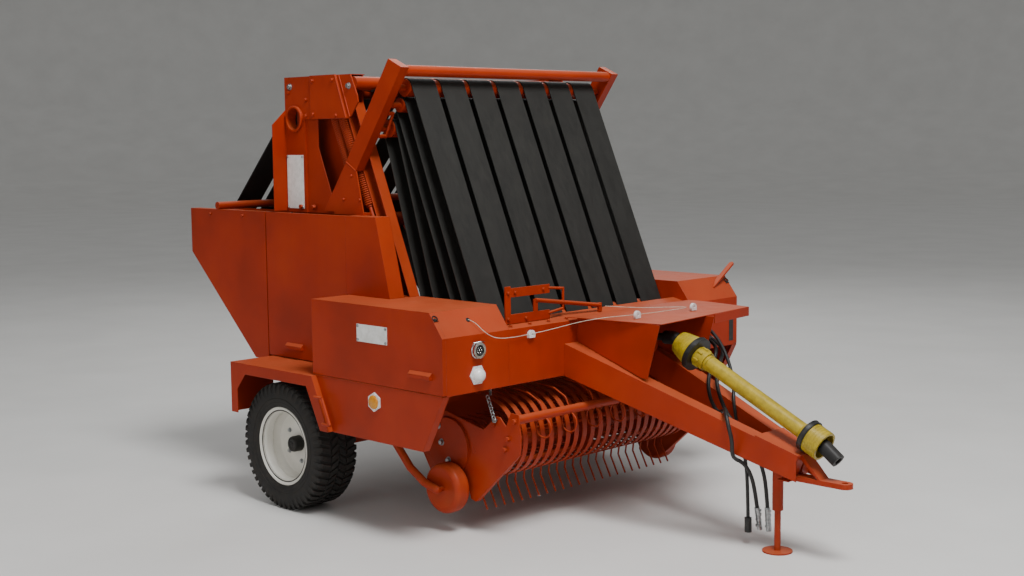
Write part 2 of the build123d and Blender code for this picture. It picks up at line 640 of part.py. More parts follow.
for tag, side in SIDES:
    face = sheet(fender_outer, FENDER_Y, side) - sheet(fender_opening, FENDER_Y + 1, side, SHEET + 2)
    strip = prism(strip_outer, side * COVER_Y, side * FENDER_Y)
    strip -= prism(strip_inner, side * (COVER_Y - 1), side * (FENDER_Y + 1))
    top_sheet = block(FENDER_REAR_X, FENDER_FRONT_TOP_X, side * FENDER_INNER_Y, side * COVER_Y,
                      FENDER_TOP_Z - SHEET, FENDER_TOP_Z)
    top_lip = block(FENDER_REAR_X, BOX_REAR_X - RUN_GAP, side * FENDER_INNER_Y, side * (FENDER_INNER_Y + SHEET),
                    FENDER_TOP_Z - SHEET, FENDER_TOP_Z + FENDER_RIM / 2)
    rail = [(fender_front(z) + reach, side * (FENDER_Y + GRAB_DIA / 3), z) for reach, z in GRAB_RAIL]
    grab = rod(rail[0], rail[1], GRAB_DIA) + rod(rail[1], rail[2], GRAB_DIA) + rod(rail[2], rail[3], GRAB_DIA)
    fenders.append(face + strip + top_sheet + top_lip + grab)
    box_side = BODY_HALF_WIDTH - DOOR_DEPTH - SEAT_GAP
    box = ring(box_outline, side * WALL_OUTER_Y, side * box_side)
    door = pan(door_outline, BODY_HALF_WIDTH, side, DOOR_DEPTH)
    axis = (BOX_REAR_X - HINGE_DIA / 2 - SEAT_GAP, side * (box_side + SEAT_GAP / 2))
    for heights in HINGE_HEIGHTS:
        plan = (axis[0] - SHEET, BOX_REAR_X, side * (box_side - HINGE_ARM), side * box_side)
        box = box.fuse(*knuckles(axis, plan, heights, 0))
        plan = (axis[0] - SHEET, BOX_REAR_X, side * (box_side + SEAT_GAP), side * (box_side + HINGE_ARM))
        door = door.fuse(*knuckles(axis, plan, heights, 1))
    boxes.append(box)
    handle = block(-240, -77, side * BODY_HALF_WIDTH, side * (BODY_HALF_WIDTH + 18), 876, 894)
    save(f"box_door_{tag}", door + handle)
    panels.append(pan(panel_outline, BODY_HALF_WIDTH, side, PANEL_FLANGE))
save("fenders", *fenders)
save("drive_boxes", *boxes)
save("lower_panels", *panels)


# ---------------------------------------------------------------- side covers and towers
front_cover = (
    (COVER_SPLIT_X + SEAT_GAP / 2, BOX_TOP_Z), (COVER_SPLIT_X + SEAT_GAP / 2, COVER_TOP_Z),
    (COVER_FRONT_TOP_X, COVER_TOP_Z), (COVER_FRONT_FOOT_X, BOX_TOP_Z))
middle_door = (
    (TAIL_SPLIT_X + 3, BOX_BOTTOM_Z), (TAIL_SPLIT_X + 3, COVER_TOP_Z),
    (COVER_SPLIT_X - SEAT_GAP / 2, COVER_TOP_Z), (COVER_SPLIT_X - SEAT_GAP / 2, BOX_BOTTOM_Z))
tail_front_x = TAIL_SPLIT_X - RUN_GAP
tail_outline = (
    (tail_front_x, TAIL_LOW_Z), (tail_front_x, COVER_TOP_Z), (TAIL_REAR_X, COVER_TOP_Z),
    (TAIL_REAR_X, TAIL_REAR_FOOT_Z), (TAIL_LOW_X, TAIL_LOW_Z))
_, hinge_x, hinge_z, _, _ = HINGE
arm_outline = (
    (hinge_x - 30, hinge_z + 30), (hinge_x + 30, hinge_z + 30), (hinge_x + 30, 1560),
    (tail_front_x, 1400), (tail_front_x - 60, 1400), (tail_front_x - 60, 1560), (hinge_x - 30, 1620))
head_outline = (
    (TOWER_REAR_X, TOWER_HEAD_Z), (TOWER_REAR_X, TOWER_TOP_Z), (TOWER_FRONT_X, TOWER_TOP_Z),
    (-1038, TOWER_TOP_Z - 115), (-1031, TOWER_TOP_Z - 153), (TOWER_FRONT_X, TOWER_HEAD_Z + 14),
    (-1124, TOWER_HEAD_Z))
column_outline = (
    (TOWER_REAR_X, COVER_TOP_Z), (TOWER_REAR_X, TOWER_HEAD_Z), (TOWER_COLUMN_X, TOWER_HEAD_Z),
    (TOWER_COLUMN_X, COVER_TOP_Z))
second_column = (
    (TOWER_COLUMN_X, COVER_TOP_Z), (TOWER_COLUMN_X, TOWER_HEAD_Z), (-1403, TOWER_HEAD_Z),
    (-1403, 2000), (-1250, COVER_TOP_Z))
cap_outline = ((-1441, TOWER_HEAD_Z), (-1441, TOWER_TOP_Z + 2), (-1215, TOWER_TOP_Z + 2),
               (-1124, TOWER_HEAD_Z + 4))
wing_points = ((COVER_Y, 1643), (COVER_Y, TOWER_HEAD_Z - 28), (TOWER_Y, TOWER_HEAD_Z + 57), (TOWER_Y, 1643))
front_covers, tail_covers, towers = [], [], []
for tag, side in SIDES:
    cover = pan(front_cover, COVER_Y, side, COVER_FLANGE)
    door = pan(middle_door, COVER_Y, side, DOOR_DEPTH)
    front_covers.append(cover)
    grip = block(-1602, -1450, side * COVER_Y, side * (COVER_Y + 18), 856, 874)
    save(f"cover_door_{tag}", door + grip)
    tail_covers.append(pan(tail_outline, COVER_Y, side, 60))
    tower = sheet(head_outline, TOWER_Y, side, PLATE)
    tower += sheet(column_outline, TOWER_Y, side)
    tower += sheet(second_column, TOWER_Y - 12, side)
    tower += block(TOWER_COLUMN_X - SHEET, TOWER_COLUMN_X, side * (TOWER_Y - 16), side * TOWER_Y,
                   COVER_TOP_Z, TOWER_HEAD_Z)
    tower += block(TOWER_REAR_X, TOWER_FRONT_X, side * (WALL_OUTER_Y), side * TOWER_Y,
                   TOWER_TOP_Z - SHEET, TOWER_TOP_Z)
    tower += sheet(cap_outline, TOWER_Y + 12, side, 12)
    wing = Polyline(*[(TOWER_REAR_X, side * y, z) for y, z in wing_points], close=True)
    tower += extrude(make_face(wing), amount=SHEET, dir=(1, 0, 0))
    pipe_y = side * (TOWER_Y - 50)
    tower += cross_rod(HEAD_PIPE_X, HEAD_PIPE_Z, HEAD_PIPE_DIA, pipe_y, side * (TOWER_Y + 6))
    tower -= cross_rod(HEAD_PIPE_X, HEAD_PIPE_Z, HEAD_PIPE_DIA - 16, pipe_y - side, side * (TOWER_Y + 7))
    tower += block(-1320, -1182, side * WALL_OUTER_Y, side * HEAD_INNER_Y, TUBE_TOP_Z, TUBE_TOP_Z + PLATE)
    towers.append(tower)
save("front_covers", *front_covers)
save("tail_covers", *tail_covers)
save("towers", *towers)

tail_frame = cross_rod(-2270, COVER_TOP_Z + 22.5, 45, -COVER_Y, COVER_Y)
for _, side in SIDES:
    wall_y = WALL_OUTER_Y + RUN_GAP + 2 + SHEET
    arm_y = wall_y + 12
    tail_wall = sheet(tail_outline, wall_y, side)
    arm = sheet(arm_outline, arm_y, side, 12)
    arm -= cross_rod(hinge_x, hinge_z, SHAFT_DIA + 1, side * WALL_INNER_Y, side * COVER_Y)
    tail_frame += tail_wall + arm
    tail_frame += block(TAIL_REAR_X + 40, TAIL_REAR_X + 80, side * wall_y, side * (COVER_Y - SHEET), 1400, 1440)
    tail_frame += block(-2000, -1960, side * wall_y, side * (COVER_Y - SHEET), 900, 940)
    tail_frame += block(-2292, -2248, side * wall_y, side * (COVER_Y - SHEET), COVER_TOP_Z - 60, COVER_TOP_Z - SHEET)
save("tail_frame", tail_frame)
save("rollers_tail", *roller_row(TAIL_ROLLERS, wall_y - SHEET))


# ---------------------------------------------------------------- roller frame and tension tubes
arm_points = ((-649, 2422), (-754, 2470), (-1124, 1926), (-1040, 1877))
gusset_points = ((-1124, 1926), (-1040, 1877), (-985, COVER_TOP_Z + 14), (-1330, COVER_TOP_Z + 14))
frame = cross_rod(FRAME_TUBE_X, FRAME_TUBE_Z, FRAME_TUBE_DIA, -ARM_INNER_Y, ARM_INNER_Y)
for _, side in SIDES:
    frame += ring(arm_points, side * ARM_INNER_Y, side * (ARM_INNER_Y + ARM_WIDTH))
    frame += sheet(arm_points, ARM_INNER_Y + SHEET, side)
    frame += sheet(arm_points, ARM_INNER_Y + ARM_WIDTH, side)
    frame += sheet(gusset_points, ARM_INNER_Y + ARM_WIDTH, side, PLATE)
    frame += block(-1240, -985, side * (POST_OUTER_Y + 6), side * (ARM_INNER_Y + ARM_WIDTH), COVER_TOP_Z, COVER_TOP_Z + 14)
    for x, z in LADDER_RODS:
        frame += cross_rod(x, z, 22, side * LADDER_INNER_Y, side * ARM_INNER_Y)
    (x0, z0), (x1, z1) = LADDER_RODS
    lead_x, lead_z = 0.05 * (x0 - x1), 0.05 * (z0 - z1)
    frame += rod((x0 + lead_x, side * LADDER_INNER_Y, z0 + lead_z),
                 (x1 - lead_x, side * LADDER_INNER_Y, z1 - lead_z), 18)
save("roller_frame", frame)

tubes = []
tube_y = WALL_OUTER_Y + TENSION_TUBE_DIA / 2
for _, side in SIDES:
    y = side * tube_y
    for top_x, foot_x, foot_z in ((-1280, -1165, 1890), (-1213, -1005, 1690)):
        tube = rod((foot_x, y, foot_z), (top_x, y, TUBE_TOP_Z), TENSION_TUBE_DIA, 48)
        tubes.append(tube - block(top_x - 60, top_x + 60, y - 40, y + 40, TUBE_TOP_Z, TUBE_TOP_Z + 40))
    inner = rod((-815, y, 1270), (-1213, y, TUBE_TOP_Z), 24)
    tubes.append(inner - block(-1273, -1153, y - 40, y + 40, TUBE_TOP_Z, TUBE_TOP_Z + 40))
save("tension_tubes", *tubes)


# ---------------------------------------------------------------- gearbox and power take-off shaft
def on_shaft(x):
    """Point of the shaft's axis at one x."""
    return (x, 0, PTO_REAR_Z - PTO_FALL * (x - PTO_REAR_X))


def shaft_piece(x0, x1, dia0, dia1=None, bore=0):
    """Round or tapered piece on the shaft's axis."""
    start, end = Vector(*on_shaft(x0)), Vector(*on_shaft(x1))
    plane = Plane(origin=start, z_dir=end - start)
    seat = (Align.CENTER, Align.CENTER, Align.MIN)
    length = (end - start).length
    solid = Cylinder(dia0 / 2, length, align=seat)
    if dia1:
        solid = Cone(dia0 / 2, dia1 / 2, length, align=seat)
    if bore:
        solid -= Cylinder(bore / 2, length, align=seat)
    return plane * solid


gear_z = PTO_REAR_Z
gearbox = block(0, GEARBOX_LENGTH, -GEARBOX_HALF, GEARBOX_HALF, gear_z - GEARBOX_HALF, gear_z + GEARBOX_HALF)
gearbox = fillet(gearbox.edges().filter_by(Axis.X), 25)
save("gearbox", gearbox)

def yoke_point(x):
    """Point on the axis of the front yoke, which droops from the end of the guard."""
    _, _, z = on_shaft(PTO_FRONT_X)
    return (x, 0, z - PTO_YOKE_FALL * (x - PTO_FRONT_X))


shaft = rod((GEARBOX_LENGTH, 0, gear_z), (PTO_REAR_X, 0, gear_z), PTO_SHAFT_DIA)
shaft += rod((PTO_REAR_X - 60, 0, gear_z), (PTO_REAR_X, 0, gear_z), PTO_YOKE_DIA)
shaft += Pos(*on_shaft(PTO_REAR_X)) * Sphere(PTO_YOKE_DIA / 2)
shaft += shaft_piece(PTO_REAR_X, PTO_FRONT_X, PTO_SHAFT_DIA)
shaft += Pos(*on_shaft(PTO_FRONT_X)) * Sphere(PTO_YOKE_DIA / 2)
shaft += rod(yoke_point(PTO_FRONT_X), yoke_point(PTO_YOKE_END_X), PTO_YOKE_DIA)
yoke_end = Vector(*yoke_point(PTO_YOKE_END_X))
inward = (yoke_end - Vector(*yoke_point(PTO_FRONT_X))).normalized()
shaft -= rod(yoke_end - inward * PTO_YOKE_BORE, yoke_end + inward, PTO_SHAFT_DIA)
save("pto_shaft", shaft)

guard_bore = PTO_SHAFT_DIA + 2 * SEAT_GAP
bell_x = PTO_REAR_X + PTO_YOKE_DIA / 2
ring_end = PTO_RING_X + PTO_RING_WIDTH
front_ring_end = PTO_FRONT_RING_X + PTO_FRONT_RING_WIDTH
guard = shaft_piece(bell_x, PTO_RING_X, PTO_BELL_DIA, PTO_CONE_DIA, guard_bore)
guard += shaft_piece(PTO_RING_X, ring_end, PTO_TUBE_DIA, bore=guard_bore)
guard += shaft_piece(ring_end, ring_end + PTO_COLLAR_LENGTH, PTO_COLLAR_DIA, bore=guard_bore)
guard += shaft_piece(ring_end, PTO_FLARE_X, PTO_TUBE_DIA, bore=guard_bore)
guard += shaft_piece(PTO_FLARE_X, PTO_FRONT_RING_X, PTO_TUBE_DIA, PTO_CUP_DIA, guard_bore)
guard += shaft_piece(PTO_FRONT_RING_X, front_ring_end, PTO_TUBE_DIA, bore=guard_bore)
cup = shaft_piece(front_ring_end, PTO_FRONT_X, PTO_CUP_DIA, bore=guard_bore)
cup -= shaft_piece(PTO_FRONT_X - PTO_CUP_DEPTH, PTO_FRONT_X + 1, PTO_CUP_BORE)
save("pto_guard", guard + cup)
save("pto_rings",
     shaft_piece(PTO_RING_X, ring_end, PTO_RING_DIA, bore=PTO_TUBE_DIA),
     shaft_piece(PTO_FRONT_RING_X, front_ring_end, PTO_FRONT_RING_DIA, bore=PTO_TUBE_DIA))


# ---------------------------------------------------------------- pickup
def reel_point(radius, angle):
    """Point at a radius from the reel's axis, angle in degrees from forward, upwards positive."""
    return REEL_X + radius * cos(radians(angle)), REEL_Z + radius * sin(radians(angle))


reel = cross_rod(REEL_X, REEL_Z, 60, -REEL_HALF, REEL_HALF)
reel += cross_rod(REEL_X, REEL_Z, REEL_JOURNAL_DIA, -PICKUP_HALF_WIDTH, PICKUP_HALF_WIDTH)
for side in (-1, 0, 1):
    middle = side * (REEL_HALF - 4)
    reel += cross_rod(REEL_X, REEL_Z, 2 * REEL_BAR_RADIUS + 50, middle - 4, middle + 4)
for row in range(REEL_ROWS):
    angle = REEL_PHASE + row * 360 / REEL_ROWS
    x, z = reel_point(REEL_BAR_RADIUS, angle)
    reel += cross_rod(x, z, REEL_BAR_DIA, -REEL_HALF, REEL_HALF)
tines = []
for row in range(REEL_ROWS):
    angle = REEL_PHASE + row * 360 / REEL_ROWS
    root = reel_point(REEL_BAR_RADIUS + REEL_BAR_DIA / 4, angle - 3)
    knee = reel_point((REEL_BAR_RADIUS + REEL_TIP_RADIUS) / 2, angle - 10)
    tip = reel_point(REEL_TIP_RADIUS, angle)
    for i in range(TINE_COUNT):
        y = (i - (TINE_COUNT - 1) / 2) * TINE_PITCH
        path = Polyline((root[0], y, root[1]), (knee[0], y, knee[1]), (tip[0], y, tip[1]))
        start = Plane(origin=(root[0], y, root[1]), z_dir=path % 0)
        tine = sweep(start * Rectangle(TINE_DIA, TINE_DIA), path=path, transition=Transition.RIGHT)
        tines.append(tine)
save("pickup_reel", reel.fuse(*tines))

cheek_outline = (
    (-49, 640), (-20, 640), (23, 597), (60, 672), (112, 668), (128, 560), (128, 500), (122, 462),
    (-204, 170), (-240, 180), (-262, 252), (-530, 252), (-640, 420), (PICKUP_PIVOT_X - 60, PICKUP_PIVOT_Z - 50),
    (PICKUP_PIVOT_X - 60, PICKUP_PIVOT_Z + 40), (-420, 620), (-138, 560))
tie_x, tie_z = -600, 470
nose_points = ((122, CHEEK_INNER_Y, 462), (-204, CHEEK_INNER_Y, 170), (-204, NOSE_INNER_Y, 170))
pickup = cross_rod(WIND_TUBE_X, WIND_TUBE_Z, WIND_TUBE_DIA, -PICKUP_HALF_WIDTH, PICKUP_HALF_WIDTH)
pickup += cross_rod(tie_x, tie_z, 50, -PICKUP_HALF_WIDTH, PICKUP_HALF_WIDTH)
for _, side in SIDES:
    plate = sheet(cheek_outline, PICKUP_HALF_WIDTH, side, CHEEK)
    hole_end = side * (PICKUP_HALF_WIDTH + 1)
    plate -= cross_rod(PICKUP_PIVOT_X, PICKUP_PIVOT_Z, PIVOT_DIA + 1, side * (PICKUP_HALF_WIDTH - 20), hole_end)
    plate -= cross_rod(REEL_X, REEL_Z, REEL_JOURNAL_DIA + 2 * SEAT_GAP, side * (PICKUP_HALF_WIDTH - 20), hole_end)
    plate += cross_rod(REEL_COVER_X, REEL_COVER_Z, REEL_COVER_DIA, side * PICKUP_HALF_WIDTH,
                       side * (PICKUP_HALF_WIDTH + REEL_COVER_DEPTH))
    brace = Polyline(*[(x, side * y, z) for x, y, z in nose_points], close=True)
    plate += extrude(make_face(brace), amount=CHEEK, dir=(-0.67, 0, 0.75))
    pickup += plate - cross_rod(REEL_X, REEL_Z, REEL_JOURNAL_DIA + 2 * SEAT_GAP, side * (PICKUP_HALF_WIDTH - 20),
                                side * (PICKUP_HALF_WIDTH + CHEEK))
back_face = Plane.XZ * (Circle(BACK_SHEET_RADIUS + SHEET) - Circle(BACK_SHEET_RADIUS))
back_sheet = Pos(REEL_X, 0, REEL_Z) * extrude(back_face, amount=CHEEK_INNER_Y, both=True)
start, end = radians(BACK_SHEET_START), radians(BACK_SHEET_END)
reach = 2 * BACK_SHEET_RADIUS
wedge = ((REEL_X, REEL_Z), (REEL_X + reach * cos(start), REEL_Z + reach * sin(start)),
         (REEL_X - reach, REEL_Z + reach), (REEL_X - reach, REEL_Z - reach / 4),
         (REEL_X + reach * cos(end), REEL_Z + reach * sin(end)))
low_ledge = block(BAND_FOOT_X - 12, BAND_FOOT_X, -CHEEK_INNER_Y, CHEEK_INNER_Y, BAND_BOTTOM_Z - 27, BAND_BOTTOM_Z + 3)
pickup += (back_sheet & prism(wedge, -CHEEK_INNER_Y, CHEEK_INNER_Y)) - low_ledge
save("pickup_frame", pickup)

wind_tube = cross_rod(WIND_TUBE_X, WIND_TUBE_Z, WIND_TUBE_DIA, -PICKUP_HALF_WIDTH, PICKUP_HALF_WIDTH)
hoop_z = WIND_TUBE_Z - WIND_TUBE_DIA / 2 - HOOP_RADIUS + HOOP_DIA
guard_wires = []
for k in range(-HOOP_COUNT, HOOP_COUNT + 1):
    y = k * HOOP_STEP * TINE_PITCH
    hoop = Plane(origin=(WIND_TUBE_X, y, hoop_z), z_dir=(0, 1, 0)) * Torus(HOOP_RADIUS, HOOP_DIA / 2)
    stops = [(x, y, z) for x, z in GUARD_WIRE]
    wire = sweep(Plane(origin=stops[0], z_dir=Vector(*stops[1]) - Vector(*stops[0])) * Circle(HOOP_DIA / 2),
                 path=FilletPolyline(*stops, radius=30))
    guard_wires += [hoop - wind_tube, wire - wind_tube]
save("wind_guard", *guard_wires)

chain = []
for _, side in SIDES:
    y = side * (PICKUP_HALF_WIDTH + LINK_RADIUS + LINK_DIA / 2 + SEAT_GAP)
    foot, head = Vector(CHAIN_FOOT_X, y, CHAIN_FOOT_Z), Vector(CHAIN_TOP_X, y, CHAIN_TOP_Z)
    along = (head - foot).normalized()
    across = (Vector(0, 1, 0), along.cross(Vector(0, 1, 0)))
    one = cross_rod(CHAIN_FOOT_X, CHAIN_FOOT_Z, 2 * (LINK_RADIUS - 1), side * PICKUP_HALF_WIDTH,
                    y + side * LINK_RADIUS)
    for i in range(LINK_COUNT):
        plane = Plane(origin=foot + along * (i * (head - foot).length / (LINK_COUNT - 1)), z_dir=across[i % 2])
        one += plane * Torus(LINK_RADIUS, LINK_DIA / 2)
    chain.append(one)
save("lift_chain", *chain)

band_z = BAND_BOTTOM_Z + BAND_RADIUS
band_edges = []
band_ends = []
for reach in (BAND_RADIUS, BAND_RADIUS - BAND_THICK):
    low = (BAND_X, band_z - reach)
    front = (BAND_X + reach, band_z)
    turn = radians(BAND_TOP_ANGLE)
    high = (BAND_X + reach * cos(turn), band_z + reach * sin(turn))
    run = (high[0] - BAND_REAR_X) / sin(turn)
    rear = (BAND_REAR_X, high[1] + run * cos(turn))
    start = (BAND_FOOT_X, low[1])
    band_edges += [Line((start[0], 0, start[1]), (low[0], 0, low[1])),
                   ThreePointArc((low[0], 0, low[1]), (front[0], 0, front[1]), (high[0], 0, high[1])),
                   Line((high[0], 0, high[1]), (rear[0], 0, rear[1]))]
    band_ends.append((start, rear))
band_edges += [Line((a[0], 0, a[1]), (b[0], 0, b[1])) for a, b in zip(*band_ends)]
band = extrude(make_face(Wire(band_edges)), amount=BAND_WIDTH, dir=(0, 1, 0))
bands = []
for i in range(TINE_COUNT - 1):
    y = (i - (TINE_COUNT - 2) / 2) * TINE_PITCH
    bands.append(Pos(0, y - BAND_WIDTH / 2, 0) * band)
band_half = (TINE_COUNT - 2) / 2 * TINE_PITCH + BAND_WIDTH / 2
high_ledge = block(BAND_REAR_X - 12, BAND_REAR_X, -band_half, band_half, rear[1] - 20, rear[1] + 15)
save("stripper_bands", *bands, low_ledge, high_ledge)

gauge_arms = []
for tag, side in SIDES:
    wheel = cross_rod(GAUGE_X, GAUGE_Z, GAUGE_DIA, side * (GAUGE_OUTER_Y - GAUGE_WIDTH), side * GAUGE_OUTER_Y)
    wheel = fillet(wheel.edges().filter_by(GeomType.CIRCLE), GAUGE_EDGE)
    dish = Pos(GAUGE_X, side * (GAUGE_OUTER_Y + GAUGE_DISH - 12), GAUGE_Z) * Sphere(GAUGE_DISH)
    bore = cross_rod(GAUGE_X, GAUGE_Z, GAUGE_AXLE_DIA + 1, side * (GAUGE_OUTER_Y - GAUGE_WIDTH - 1),
                     side * (GAUGE_OUTER_Y + 1))
    save(f"gauge_wheel_{tag}", wheel - dish - bore)
    arm_y = side * GAUGE_ARM_Y
    stops = [(GAUGE_X, GAUGE_Z), (-440, 258), (-553, 322), (-700, 470), (-760, 590)]
    arm = Sphere(GAUGE_TUBE_DIA / 2)
    arm = Pos(stops[0][0], arm_y, stops[0][1]) * arm
    for (x0, z0), (x1, z1) in zip(stops, stops[1:]):
        arm += rod((x0, arm_y, z0), (x1, arm_y, z1), GAUGE_TUBE_DIA)
        arm += Pos(x1, arm_y, z1) * Sphere(GAUGE_TUBE_DIA / 2)
    arm += cross_rod(stops[-1][0], stops[-1][1], GAUGE_TUBE_DIA, side * PICKUP_HALF_WIDTH, arm_y)
    arm += cross_rod(GAUGE_X, GAUGE_Z, GAUGE_AXLE_DIA, side * (GAUGE_OUTER_Y - GAUGE_WIDTH), arm_y)
    gauge_arms.append(arm)
save("gauge_arms", *gauge_arms)


# ---------------------------------------------------------------- twine gear, eyelets and lamps
def beam_top(x):
    """Height of the front beam's top at one x."""
    return BOX_TOP_Z - BOX_CHAMFER_DROP + (BEAM_TOP_Z - BOX_TOP_Z + BOX_CHAMFER_DROP) * -x / BEAM_DEPTH


foot_z = beam_top(-68) + SEAT_GAP
twine_frame = block(-64, -56, -709, -380, foot_z, 1150) + block(-64, -56, -709, -670, foot_z, 1295)
twine_frame += block(-64, -56, -709, -380, 1238, 1285)
twine_frame += rod((-60, -390, 1265), (-60, -273, 1254), 14) + rod((-60, -273, 1260), (-60, -274, 1140), 14)
twine_frame += rod((-60, -273, 1147), (-60, -390, 1132), 14)
twine_frame += block(-64, -56, -500, -470, foot_z, 1215)
twine_frame += rod((-60, -485, 1209), (-60, 23, 1136), 22)
twine_frame += block(-68, -52, 10, 30, foot_z, 1150)
save("twine_arm", twine_frame)

FACE = 0
LEVER_Y = BODY_HALF_WIDTH - 168
LAMP_Y = BODY_HALF_WIDTH - 232
LEVER_WIDTH = 32
LEVER_THICK = 10
LEVER_REACH = 189
LEVER_RISE = 126
FLAT = (Align.CENTER, Align.CENTER, Align.MIN)
eyelets = []
for x, y, z in ((FACE, -589, 1047), (317, -122, HOOD_TOP_Z + 20), (331, 333, HOOD_TOP_Z + 20)):
    depth = 16 if x else 18
    body = block(x, x + depth, y - 22, y + 22, z - 20, z + 20)
    eyelets.append(body - rod((x - 1, y, z), (x + depth + 1, y, z), 14))
save("twine_eyelets", *eyelets)

lever_plane = Plane(origin=(-60, LEVER_Y, 1150), x_dir=(1, 0, 0), z_dir=(0, LEVER_REACH, LEVER_RISE))
lever_length = hypot(LEVER_REACH, LEVER_RISE)
lever = lever_plane * Box(LEVER_WIDTH, LEVER_THICK, lever_length, align=FLAT)
lever += lever_plane * Pos(0, 0, lever_length) * Rot(90, 0, 0) * Cylinder(LEVER_WIDTH / 2, LEVER_THICK)
save("box_lever", lever - prism(box_outline, LEVER_Y - 100, LEVER_Y + 100))

socket = rod((FACE, -LAMP_Y, 1007), (24, -LAMP_Y, 1007), 80, 56) + rod((FACE, -LAMP_Y, 1007), (10, -LAMP_Y, 1007), 70)
save("front_socket", socket)
front_plane = Plane(origin=(FACE, -LAMP_Y, 882), z_dir=(1, 0, 0))
save("front_reflectors", front_plane * extrude(RegularPolygon(48, 6), amount=LENS_PLATE))
save("front_lens", front_plane * Pos(0, 0, LENS_PLATE) * Cylinder(40, LENS_DEPTH, align=FLAT))
side_reflectors, side_lenses = [], []
for _, side in SIDES:
    plane = Plane(origin=(-515, side * BODY_HALF_WIDTH, 714), z_dir=(0, side, 0))
    side_reflectors.append(plane * extrude(RegularPolygon(50, 6), amount=LENS_PLATE))
    side_lenses.append(plane * Pos(0, 0, LENS_PLATE) * Cylinder(40, LENS_DEPTH, align=FLAT))
save("side_reflectors", *side_reflectors)
save("side_lenses", *side_lenses)
save("number_plate", block(-650, -410, -BODY_HALF_WIDTH - 2, -BODY_HALF_WIDTH, 1016, 1107))
save("sign_plate", block(TOWER_REAR_X + 10, -1530, -TOWER_Y - 2, -TOWER_Y, 1657, 1962))


# ---------------------------------------------------------------- hoses and cable
HOSES = {
    "hose_front": (HOSE_DIA, (
        (462, 336, 965), (529, 326, 940), (578, 280, 911), (618, 200, 872), (652, 120, 801), (717, 60, 728),
        (805, 0, 660), (870, 4, 590), (920, 12, 532), (965, 34, 470), (990, 55, 395), (1006, 67, 300),
        (1015, 67, 190))),
    "hose_loop": (HOSE_DIA, (
        (437, 300, 971), (491, 300, 959), (546, 270, 925), (564, 220, 874), (593, 130, 793), (653, 60, 720),
        (715, 20, 671), (775, -25, 658), (831, -60, 676), (880, -110, 703), (937, -180, 694), (968, -200, 636),
        (989, -200, 570), (975, -180, 500), (940, -110, 458), (948, -50, 430), (963, -10, 375),
        (966, 26, 287), (968, 45, 187))),
    "cable_tail": (HOSE_DIA - 2, (
        (439, 280, 1059), (513, 270, 1018), (601, 240, 955), (690, 190, 865), (759, 130, 775), (796, 74, 703),
        (851, 40, 567), (930, 0, 432), (942, 0, 280), (945, 0, 140))),
}


def cord(dia, points):
    """Round hose along straight runs joined by arcs as large as the runs allow."""
    ways = [Vector(*point) for point in points]
    radii = []
    for a, b, c in zip(ways, ways[1:], ways[2:]):
        turn = radians((b - a).get_angle(c - b))
        radii.append(0.45 * min((b - a).length, (c - b).length) / tan(turn / 2))
    path = FilletPolyline(*ways, radius=radii)
    print("smallest radius", round(min(radii)), "length", round(path.length))
    section = Plane(origin=ways[0], z_dir=ways[1] - ways[0]) * Circle(dia / 2)
    return sweep(section, path=path)


fittings = []
for name, (dia, points) in HOSES.items():
    save(name, cord(dia, points))
    start, onward = Vector(*points[0]), Vector(*points[1])
    back = start - (onward - start).normalized() * 20
    nut = rod(back, start, dia + 6)
    fittings.append(nut + Pos(*back) * Sphere(dia / 2) + rod((HOSE_BRACKET_X, back.Y, back.Z), back, dia))
save("hose_fittings", *fittings)
ends = []
for name, length, dia in (("hose_front", 120, 28), ("hose_loop", 120, 28), ("cable_tail", 74, 36)):
    _, points = HOSES[name]
    last, before = Vector(*points[-1]), Vector(*points[-2])
    onward = (last - before).normalized()
    ends.append(rod(last, last + onward * length, dia))
save("coupler_front", ends[0])
save("coupler_loop", ends[1])
save("cable_plug", ends[2])
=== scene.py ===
import json
import math
import bpy
import bmesh
from mathutils import Matrix, Vector


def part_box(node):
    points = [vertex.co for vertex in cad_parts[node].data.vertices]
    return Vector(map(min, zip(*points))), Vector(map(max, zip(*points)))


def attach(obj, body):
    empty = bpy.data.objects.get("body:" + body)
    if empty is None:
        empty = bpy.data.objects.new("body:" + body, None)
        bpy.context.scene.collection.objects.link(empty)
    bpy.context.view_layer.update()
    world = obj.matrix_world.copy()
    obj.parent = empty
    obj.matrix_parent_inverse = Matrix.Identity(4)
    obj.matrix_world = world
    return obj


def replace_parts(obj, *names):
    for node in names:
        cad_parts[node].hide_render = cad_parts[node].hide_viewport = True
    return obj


# Towed round baler, in metres: +X forward along the drawbar, +Y to the machine's left, +Z up.
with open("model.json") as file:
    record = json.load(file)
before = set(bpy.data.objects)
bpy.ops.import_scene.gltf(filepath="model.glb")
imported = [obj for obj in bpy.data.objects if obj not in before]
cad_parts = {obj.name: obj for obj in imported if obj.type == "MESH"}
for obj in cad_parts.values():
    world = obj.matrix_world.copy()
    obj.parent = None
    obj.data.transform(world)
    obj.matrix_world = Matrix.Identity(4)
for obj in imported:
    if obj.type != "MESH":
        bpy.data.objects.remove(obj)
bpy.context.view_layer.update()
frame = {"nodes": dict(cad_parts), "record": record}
nodes = frame["nodes"]
slots = {entry["node"]: entry["material_slot"] for entry in frame["record"]["subparts"]}
SHIFT = 0.5105                                   # the front face of the body lies at X = SHIFT
SIDES = (("right", -1), ("left", 1))
BOTH = (-1, 1)


def at(x, y, z):
    """A place given in millimetres from the middle of the body's front face, on the ground."""
    return Vector((x / 1000 + SHIFT, y / 1000, z / 1000))


def middle_of(name):
    """Middle of a node's box."""
    low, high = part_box(name)
    return (Vector(low) + Vector(high)) / 2


